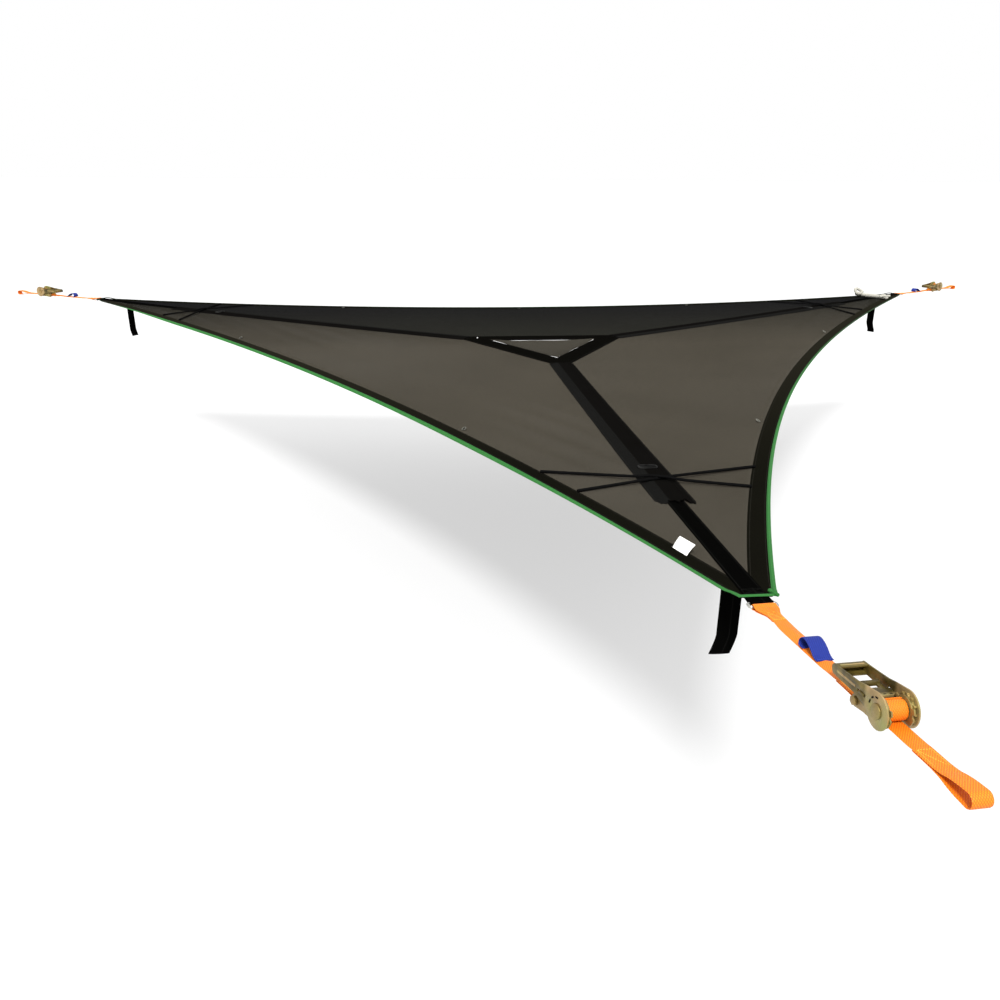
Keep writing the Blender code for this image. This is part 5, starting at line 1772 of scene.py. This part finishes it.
@dataclass
class FixedStrap(CornerAssembly):
    """The orange webbing between ring and buckle, with its blue tab."""

    ring_turn: float = RING_WIRE + 0.00095 + PLY
    bolt_turn: float = 0.0043 + PLY
    gathered: float = 0.0130
    waist: float = 0.0020
    tab_start: float = 0.1395
    tab_length: float = 0.0545
    tab_height: float = 0.022

    def build(self) -> None:
        """Makes the strap, the tab and their stitching."""
        self.strap()
        self.tab()
        rows = [
            row
            for start, end in ((0.026, 0.053), (BOLT - 0.052, BOLT - 0.018))
            for row in box_stitches(self.at_strap, start, end, 0.00185)
        ]
        self.add(self.named("strap_stitches"), joined(rows), ORANGE_THREAD)

    def strap(self) -> None:
        """The webbing: round the ring, sewn back, single to the buckle, round its bolt and sewn back.

        It is gathered and folded at the ring, and its single length has a ridge along the middle.
        """
        line = [
            (0.055, -PLY), (0.030, -PLY), (0.009, -0.0016),
            *side_arc(self.ring_turn, -48.0, -312.0, 18),
            (0.009, 0.0016), (0.030, PLY), (0.055, PLY), (0.060, 0.0), (0.150, 0.0), (BOLT - 0.062, 0.0),
            (BOLT - 0.056, PLY), (BOLT - 0.022, PLY), (BOLT - 0.009, 0.0018),
            *side_arc(self.bolt_turn, 132.0, -132.0, 18, (BOLT, 0.0)),
            (BOLT - 0.009, -0.0018), (BOLT - 0.022, -PLY), (BOLT - 0.054, -PLY),
        ]
        path = smoothed(line, 0.0011, rounds=2)
        length = arc_length(path)
        gather = self.gathered * (1.0 - ease(0.010, 0.036, path[:, 0]))
        waist = self.waist * np.exp(-(((path[:, 0] - 0.050) / 0.022) ** 2))

        def crease(along: Array, share: Array) -> Array:
            """Folds by the ring, mirrored where the strap runs back, and a ridge on the single length.

            Args:
                along: distance along the strap.
                share: share across it, from -0.5 to 0.5.

            Returns:
                Height to add.
            """
            x = np.interp(along, length, path[:, 0])
            upper = np.interp(along, length, np.gradient(path[:, 0])) > 0
            near = ease(0.004, 0.012, x) * (1.0 - ease(0.022, 0.046, x))
            single = ease(0.058, 0.085, x) * (1.0 - ease(0.200, 0.232, x))
            fold = 0.0013 * np.cos(7.0 * math.pi * share + 0.6) * near
            ridge = 0.0028 * (0.5 - np.abs(share - 0.02) * 2.0) * single
            return np.where(upper, fold + ridge, -fold)

        shell = tape(path, STRAP_WIDTH + gather - waist, STRAP_THICK, rows=16, relief=crease)
        self.add(
            self.named("strap_webbing"),
            shell.moved(self.at_strap),
            ORANGE_WEB,
            stands_for=[self.named("fixed_strap")],
        )

    def tab(self) -> None:
        """A blue loop of webbing: it stands steeply at its inner end and slopes down to the outer one."""
        foot = 2 * PLY
        start, end, peak = self.tab_start, self.tab_start + self.tab_length, self.tab_height
        points = [
            (start + 0.013, foot), (start + 0.003, foot), (start + 0.0005, foot + 0.0035),
            (start + 0.0026, peak * 0.55), (start + 0.0105, peak * 0.80), (start + 0.0220, peak * 0.77),
            (start + 0.0350, peak * 0.50), (end - 0.011, foot + 0.0022), (end - 0.004, foot), (end, foot),
        ]
        shell = tape(smoothed(points, 0.0012), STRAP_WIDTH + 0.0008, STRAP_THICK).moved(self.at_strap)
        self.add(self.named("tab_webbing"), shell, BLUE_WEB)
        rows = []
        for x in (end - 0.0022, end - 0.0052):
            line = spatial(x, np.linspace(-0.0105, 0.0105, 20), foot + 0.0008)
            rows.append(thread_row(self.at_strap(line), TAB_STITCH))
        self.add(self.named("tab_stitches"), joined(rows), BLUE_THREAD)


Points = Sequence[tuple[float, float, float]]


def rib(points: Points, radius: float, axis: int, depth: float) -> Shell:
    """A pressed rib: a rod squashed against the plate that carries it.

    Args:
        points: control points of the rib's middle.
        radius: radius of the rod.
        axis: number of the axis that is squashed, which the points share a coordinate on.
        depth: share of the radius that is left.

    Returns:
        The rib's shell.
    """
    shell = rod(smoothed(points, 0.0015), radius, 10)
    level = points[0][axis]
    shell.points[:, axis] = level + (shell.points[:, axis] - level) * depth
    return shell


def crosswise(x: float, z: float, half: float, y: float = 0.0) -> Points:
    """Three points of a line across the buckle."""
    return [(x, y - half, z), (x, y, z), (x, y + half, z)]


@dataclass
class Ratchet(CornerAssembly):
    """One ratchet buckle: its plated parts, wound webbing and the strap that leaves it."""

    nodes: dict[str, bpy.types.Object]
    coil_turns: float = 3.4
    coil_start: float = -250.0
    coil_inner: float = 0.0083
    coil_outer: float = 0.01355
    eye_turn: float = 0.0091
    eye_place: float = 0.1600
    cheek: float = 0.0211
    # places of the painted slot shades: flat dark marks on the cheeks and the finger pull
    slot_radius: float = 0.0168
    slot_angles: tuple[float, ...] = (98.0, 130.0, 162.0)
    pawl_slot_shades: tuple[float, ...] = (-0.0126, -0.0042, 0.0042, 0.0126)

    def build(self) -> None:
        """Dresses the buckle's CAD shapes and adds its webbing and pressed details."""
        self.dress("ratchet_frame", "frame_plates", YELLOW_ZINC, "", 0.0004)
        self.dress("anchor_bolt", "bolt", YELLOW_ZINC, "", 0.0006)
        self.dress("ratchet_handle", "handle", HANDLE_ZINC, "handle", 0.0004)
        self.dress("ratchet_spool", "spool", YELLOW_ZINC, "spool", 0.0003)
        self.dress("drive_pawl", "finger_pull", HANDLE_ZINC, "drive_pawl", 0.0005)
        self.dress("lock_pawl", "lock_plate", YELLOW_ZINC, "lock_pawl", 0.0005)
        self.coil()
        self.tree_strap()
        self.handle_pressings()
        self.frame_pressings()

    def bevelled(self, name: str, source: bpy.types.Mesh, width: float) -> bpy.types.Mesh:
        """A copy of a CAD mesh with its flat faces joined and its edges rounded.

        Args:
            name: name of the copy.
            source: the CAD mesh.
            width: width of the rounding.

        Returns:
            The new mesh, smooth but for its sharper edges.
        """
        bm = bmesh.new()
        bm.from_mesh(source)
        bmesh.ops.remove_doubles(bm, verts=bm.verts, dist=2e-6)
        bmesh.ops.dissolve_limit(bm, angle_limit=math.radians(0.5), verts=bm.verts, edges=bm.edges)
        mesh = bpy.data.meshes.new(name)
        bm.to_mesh(mesh)
        bm.free()
        item = bpy.data.objects.new(name, mesh)
        bpy.context.scene.collection.objects.link(item)
        bevel = item.modifiers.new("edges", "BEVEL")
        bevel.width = width
        bevel.segments = 2
        bevel.limit_method = "ANGLE"
        bevel.angle_limit = math.radians(35.0)
        bpy.context.view_layer.update()
        shaped = bpy.data.meshes.new_from_object(item.evaluated_get(bpy.context.evaluated_depsgraph_get()))
        bpy.data.objects.remove(item, do_unlink=True)
        shaped.polygons.foreach_set("use_smooth", np.ones(len(shaped.polygons), bool))
        shaped.set_sharp_from_angle(angle=math.radians(32.0))
        return shaped

    def dress(self, node: str, stem: str, finish: Finish, body: str, width: float) -> None:
        """Turns a CAD shape into a piece, with texture coordinates out along the buckle and up.

        Args:
            node: stem of the CAD node's name.
            stem: stem of the piece's name.
            finish: its finish.
            body: stem of its body's name, or nothing for the root.
            width: width of its rounded edges.
        """
        name, node = self.named(stem), self.named(node)
        shaped = self.bevelled(name, self.nodes[node].data, width)
        origin, ahead = self.at_ratchet(np.array([[0.0, 0.0, 0.0], [1.0, 0.0, 0.0]]))
        points = np.empty(len(shaped.vertices) * 3)
        shaped.vertices.foreach_get("co", points)
        points = points.reshape(-1, 3) - origin
        flat = np.stack([points @ (ahead - origin), points[:, 2]], axis=-1)
        corners = np.empty(len(shaped.loops), int)
        shaped.loops.foreach_get("vertex_index", corners)
        layer = shaped.uv_layers.get("Weave") or shaped.uv_layers.new(name="Weave")
        layer.data.foreach_set("uv", flat[corners].ravel())
        self.place(name, shaped, finish, self.named(body) if body else ROOT, [node])

    def coil(self) -> None:
        """The webbing on the spool: a spiral of several turns."""
        share = np.linspace(0.0, 1.0, 260)
        angle = -math.radians(self.coil_start) - 2 * math.pi * self.coil_turns * share
        radius = self.coil_inner + (self.coil_outer - self.coil_inner) * share
        line = np.stack([radius * np.cos(angle), radius * np.sin(angle)], axis=-1)
        shell = tape(line, STRAP_WIDTH, 0.00135).moved(self.at_ratchet)
        self.add(
            self.named("coil_webbing"), shell, ORANGE_WEB, self.named("spool"), [self.named("wound_webbing")]
        )

    def tree_strap(self) -> None:
        """Webbing off the coil's underside to a sewn eye."""
        drop = -STRAP_DROP
        line = [
            *side_arc(STRAP_DROP, 222.0, 268.0, 8),
            (0.010, drop), (0.056, drop), (0.061, drop + PLY), (0.108, drop + PLY), (0.132, drop + 0.0070),
            *side_arc(self.eye_turn, 90.0, -90.0, 14, (self.eye_place, drop)),
            (0.132, drop - 0.0070), (0.108, drop - PLY), (0.062, drop - PLY),
        ]
        shell = tape(smoothed(line, 0.0012, rounds=2), STRAP_WIDTH, STRAP_THICK).moved(self.at_ratchet)
        self.add(self.named("tree_webbing"), shell, ORANGE_WEB, stands_for=[self.named("tree_strap")])
        rows = box_stitches(self.at_ratchet, 0.066, 0.104, drop + 0.0018)
        self.add(self.named("tree_stitches"), joined(rows), ORANGE_THREAD)

    def handle_pressings(self) -> None:
        """Painted shade of the slots in the finger pull and the handle's cheeks, as flat dark marks, and ribs
        on its plates and grip.
        """
        # painted shade: flat dark marks stand for the slots in the finger pull and cheeks
        pull_slot_shades = [rib(crosswise(-0.0262, 0.0067, 0.0020, y), 0.0010, 2, 0.12) for y in self.pawl_slot_shades]
        slot_shades, ribs = [], []
        for side in (-1.0, 1.0):
            y = side * self.cheek
            long_rib = [(-0.050, y, 0.0072), (-0.072, y, 0.0064), (-0.094, y, 0.0058)]
            short_rib = [(0.0, y, 0.0165), (-0.010, y, 0.0150), (-0.0165, y, 0.0085)]
            ribs += [rib(long_rib, 0.0017, 1, 0.35), rib(short_rib, 0.0012, 1, 0.35)]
            for degrees in self.slot_angles:
                cosine, sine = math.cos(math.radians(degrees)), math.sin(math.radians(degrees))
                ends = [
                    (cosine * self.slot_radius - sine * run, y + side * 0.0004,
                     sine * self.slot_radius + cosine * run)
                    for run in (-0.0027, 0.0, 0.0027)
                ]
                slot_shades.append(rib(ends, 0.0011, 1, 0.14))
        ribs.append(rib(crosswise(-0.0965, 0.0125, 0.0165), 0.0014, 2, 0.5))
        handle = self.named("handle")
        self.press("pawl_slot_shades", pull_slot_shades, DARK_THREAD, self.named("drive_pawl"))
        self.press("cheek_slot_shades", slot_shades, DARK_THREAD, handle)
        self.press("handle_ribs", ribs, HANDLE_ZINC, handle)

    def frame_pressings(self) -> None:
        """Ribs in the frame's plates and floor."""
        ribs = []
        for y in (-0.0155, 0.0155):
            line = [(-0.028, y, -0.0125), (-0.036, y, -0.0127), (-0.045, y, -0.0130)]
            ribs.append(rib(line, 0.0014, 1, 0.3))
        ribs.append(rib(crosswise(-0.036, -0.0165, 0.0105), 0.0014, 2, 0.4))
        self.press("frame_ribs", ribs, YELLOW_ZINC, ROOT)

    def press(self, stem: str, shells: Sequence[Shell], finish: Finish, body: str) -> None:
        """Adds pressed details as one piece on a body."""
        self.add(self.named(stem), joined(shells).moved(self.at_ratchet), finish, body)


@dataclass(frozen=True)
class Bow:
    """A loose loop of the tie: where it starts, where it points, and its shape."""

    start: tuple[float, float]
    heading: float
    reach: float
    width: float
    lift: float
    lean: float
    stout: float

    def shell(self, rest: float) -> Shell:
        """The loop as a closed rod: a drop shape that leans and rises as it goes out.

        Args:
            rest: height of the tie's middle over the dish.

        Returns:
            The loop's shell.
        """
        turn = np.linspace(0.0, 2.0 * math.pi, 61)[:-1]
        out = self.reach * (1.0 - np.cos(turn)) / 2
        side = self.width * np.sin(turn) * np.sin(turn / 2)
        flat = side * math.sqrt(1.0 - self.lean**2)
        x = self.start[0] + out * math.cos(self.heading) - flat * math.sin(self.heading)
        y = self.start[1] - out * math.sin(self.heading) - flat * math.cos(self.heading)
        z = dish(x, y) + rest + self.lift + 0.15 * out + self.lean * (side + 0.6 * self.width)
        return rod(spatial(x, y, z), self.stout, 14, looped=True)


@dataclass
class CornerTie(Assembly):
    """The soft white tie at the right corner: a twisted bundle of cloth with three loose loops."""

    thick: float = 0.0190
    route: Points = (
        (1.756, 1.112, 0.005), (1.777, 1.094, 0.002), (1.800, 1.070, 0.0), (1.826, 1.040, 0.0),
        (1.848, 1.006, 0.0), (1.862, 0.970, 0.0),
    )
    bows: tuple[Bow, ...] = (
        Bow((1.842, 0.996), 0.5, 0.036, 0.013, 0.002, 0.15, 0.0052),
        Bow((1.836, 0.992), -0.7, 0.030, 0.012, 0.002, 0.15, 0.0052),
        Bow((1.786, 1.094), 3.05, 0.040, 0.020, 0.006, 0.70, 0.0070),
    )

    def build(self) -> None:
        """Makes the loops and the bundle, which rests on the body strap."""
        rest = STRAP_TOP + GAP + self.thick / 2
        loops = joined([bow.shell(rest) for bow in self.bows])
        bows = self.add("tie_bows", loops, ROPE_CLOTH, smooth=80.0)
        path = smoothed([(x, y, dish(x, y) + rest + up) for x, y, up in self.route], 0.0016)
        length = arc_length(path)
        ends = np.minimum(length, length[-1] - length)
        rounded = np.sqrt(np.clip(ends / 0.006, 0.03, 1.0))
        radius = self.thick / 2 * rounded * (1.0 + 0.07 * np.sin(length * 95.0))

        def strands(along: Array, angle: Array) -> Array:
            """Three lobes that wind slowly round the bundle."""
            return 0.93 + 0.07 * np.abs(np.sin(1.5 * angle + along * 170.0)) * 2.0 - 0.05

        shell = rod(path, radius, 28, relief=strands)
        item = self.add("tie_bundle", shell, ROPE_CLOTH, stands_for=["corner_tie"], smooth=80.0)


@dataclass
class Studio:
    """Pale floor, soft light and the camera at the photograph's viewpoint."""

    floor_height: float = -0.72
    floor_reach: float = 60.0
    floor_grey: float = 0.28
    floor_glow: float = 0.555
    sun_towards: tuple[float, float, float] = (-0.17, -0.64, 0.72)
    sun_spread: float = 0.21
    sun_power: float = 4.4
    eye: tuple[float, float, float] = (-0.5408, -3.5971, 0.651)
    yaw: float = 0.1003
    pitch: float = 0.348
    roll: float = 0.0077
    lens: float = 33.93

    def build(self) -> None:
        """Makes the floor, the lights, the world and the camera."""
        self.floor()
        self.world()
        self.sun()
        self.light("fill", (4.0, -1.0, 3.2), 3.0, 25.0)
        self.light("back", (0.5, 5.0, 3.4), 4.0, 30.0)
        self.camera()

    def floor(self) -> None:
        """A pale floor that brightens what falls on it, so that shadows stay soft."""
        mesh = bpy.data.meshes.new("floor")
        far = self.floor_reach
        corners = [(-far, -far, 0.0), (far, -far, 0.0), (far, far, 0.0), (-far, far, 0.0)]
        mesh.from_pydata(corners, [], [(0, 1, 2, 3)])
        item = bpy.data.objects.new("floor", mesh)
        item.location.z = self.floor_height
        bpy.context.scene.collection.objects.link(item)
        made = bpy.data.materials.new("floor_paper")
        made.use_nodes = True
        shader = made.node_tree.nodes["Principled BSDF"]
        shader.inputs["Base Color"].default_value = (self.floor_grey, self.floor_grey, self.floor_grey, 1.0)
        shader.inputs["Roughness"].default_value = 0.9
        shader.inputs["Emission Color"].default_value = (1.0, 1.0, 1.0, 1.0)
        shader.inputs["Emission Strength"].default_value = self.floor_glow
        mesh.materials.append(made)

    def world(self) -> None:
        """White to the camera; to everything else a soft gradient from floor to ceiling."""
        world = bpy.data.worlds.new("studio")
        bpy.context.scene.world = world
        world.use_nodes = True
        graph = Graph(world.node_tree)
        world.node_tree.nodes.clear()
        coords = graph.add("ShaderNodeTexCoord").outputs["Generated"]
        level = graph.ramp(graph.parts(coords)[2], -0.1, 0.8)
        soft = graph.blend(level, (0.55, 0.55, 0.56, 1.0), (1.15, 1.15, 1.15, 1.0))
        seen = graph.add("ShaderNodeLightPath").outputs["Is Camera Ray"]
        colour = graph.blend(seen, soft, (1.0, 1.0, 1.0, 1.0))
        background = graph.add("ShaderNodeBackground", {"Color": colour, "Strength": 1.0})
        output = graph.add("ShaderNodeOutputWorld")
        graph.feed(output.inputs["Surface"], background.outputs[0])

    def sun(self) -> None:
        """A wide soft sun from the camera's side, which lays the hammock's shadow on the floor."""
        data = bpy.data.lights.new("sun", "SUN")
        data.angle = self.sun_spread
        data.energy = self.sun_power
        item = bpy.data.objects.new("sun", data)
        bpy.context.scene.collection.objects.link(item)
        item.rotation_euler = Vector(self.sun_towards).to_track_quat("Z", "Y").to_euler()

    def light(self, name: str, place: tuple[float, float, float], size: float, power: float) -> None:
        """A square soft light aimed at the hammock's middle.

        Args:
            name: the light's name.
            place: where it stands.
            size: length of its sides.
            power: its power in watts.
        """
        data = bpy.data.lights.new(name, "AREA")
        data.size = size
        data.energy = power
        item = bpy.data.objects.new(name, data)
        bpy.context.scene.collection.objects.link(item)
        axis = np.array(place) / np.linalg.norm(place)
        side = np.cross(UP, axis)
        side /= np.linalg.norm(side)
        item.matrix_world = self.matrix(side, np.cross(axis, side), axis, place)

    @staticmethod
    def matrix(x: Array, y: Array, z: Array, place: Sequence[float]) -> Matrix:
        """The matrix of an object with these axes at this place."""
        columns = np.stack([x, y, z, place], axis=-1)
        return Matrix([*columns.tolist(), [0.0, 0.0, 0.0, 1.0]])

    def camera(self) -> None:
        """The photograph's viewpoint: level to the horizon, slightly turned and tipped down."""
        yaw, pitch, roll = self.yaw, self.pitch, self.roll
        ahead = np.array(
            [math.sin(yaw) * math.cos(pitch), math.cos(yaw) * math.cos(pitch), -math.sin(pitch)]
        )
        right = np.array([math.cos(yaw), -math.sin(yaw), 0.0])
        up = np.cross(right, ahead)
        across = right * math.cos(roll) + up * math.sin(roll)
        upright = -right * math.sin(roll) + up * math.cos(roll)
        data = bpy.data.cameras.new("photo_view")
        data.sensor_width = 36.0
        data.lens = self.lens
        data.clip_end = 200.0
        item = bpy.data.objects.new("photo_view", data)
        bpy.context.scene.collection.objects.link(item)
        item.matrix_world = self.matrix(across, upright, -ahead, self.eye)
        bpy.context.scene.camera = item
        bpy.context.scene.view_settings.view_transform = "Standard"


def main() -> None:
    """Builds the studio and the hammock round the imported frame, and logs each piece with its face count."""
    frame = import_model()
    Studio().build()
    assemblies = [Canopy(), Hatch()]
    for corner in Corner:
        assemblies += [BodyStrap(corner), CornerTrim(corner), FixedStrap(corner)]
        assemblies.append(Ratchet(corner, frame["nodes"]))
    assemblies.append(CornerTie())
    for assembly in assemblies:
        assembly.build()
        for piece in assembly.pieces:
            log.info("%s: %s, %d faces", type(assembly).__name__, piece.name, len(piece.data.polygons))


if __name__ == "__main__":
    logging.basicConfig(level=logging.INFO, format="%(name)s: %(message)s")
    main()
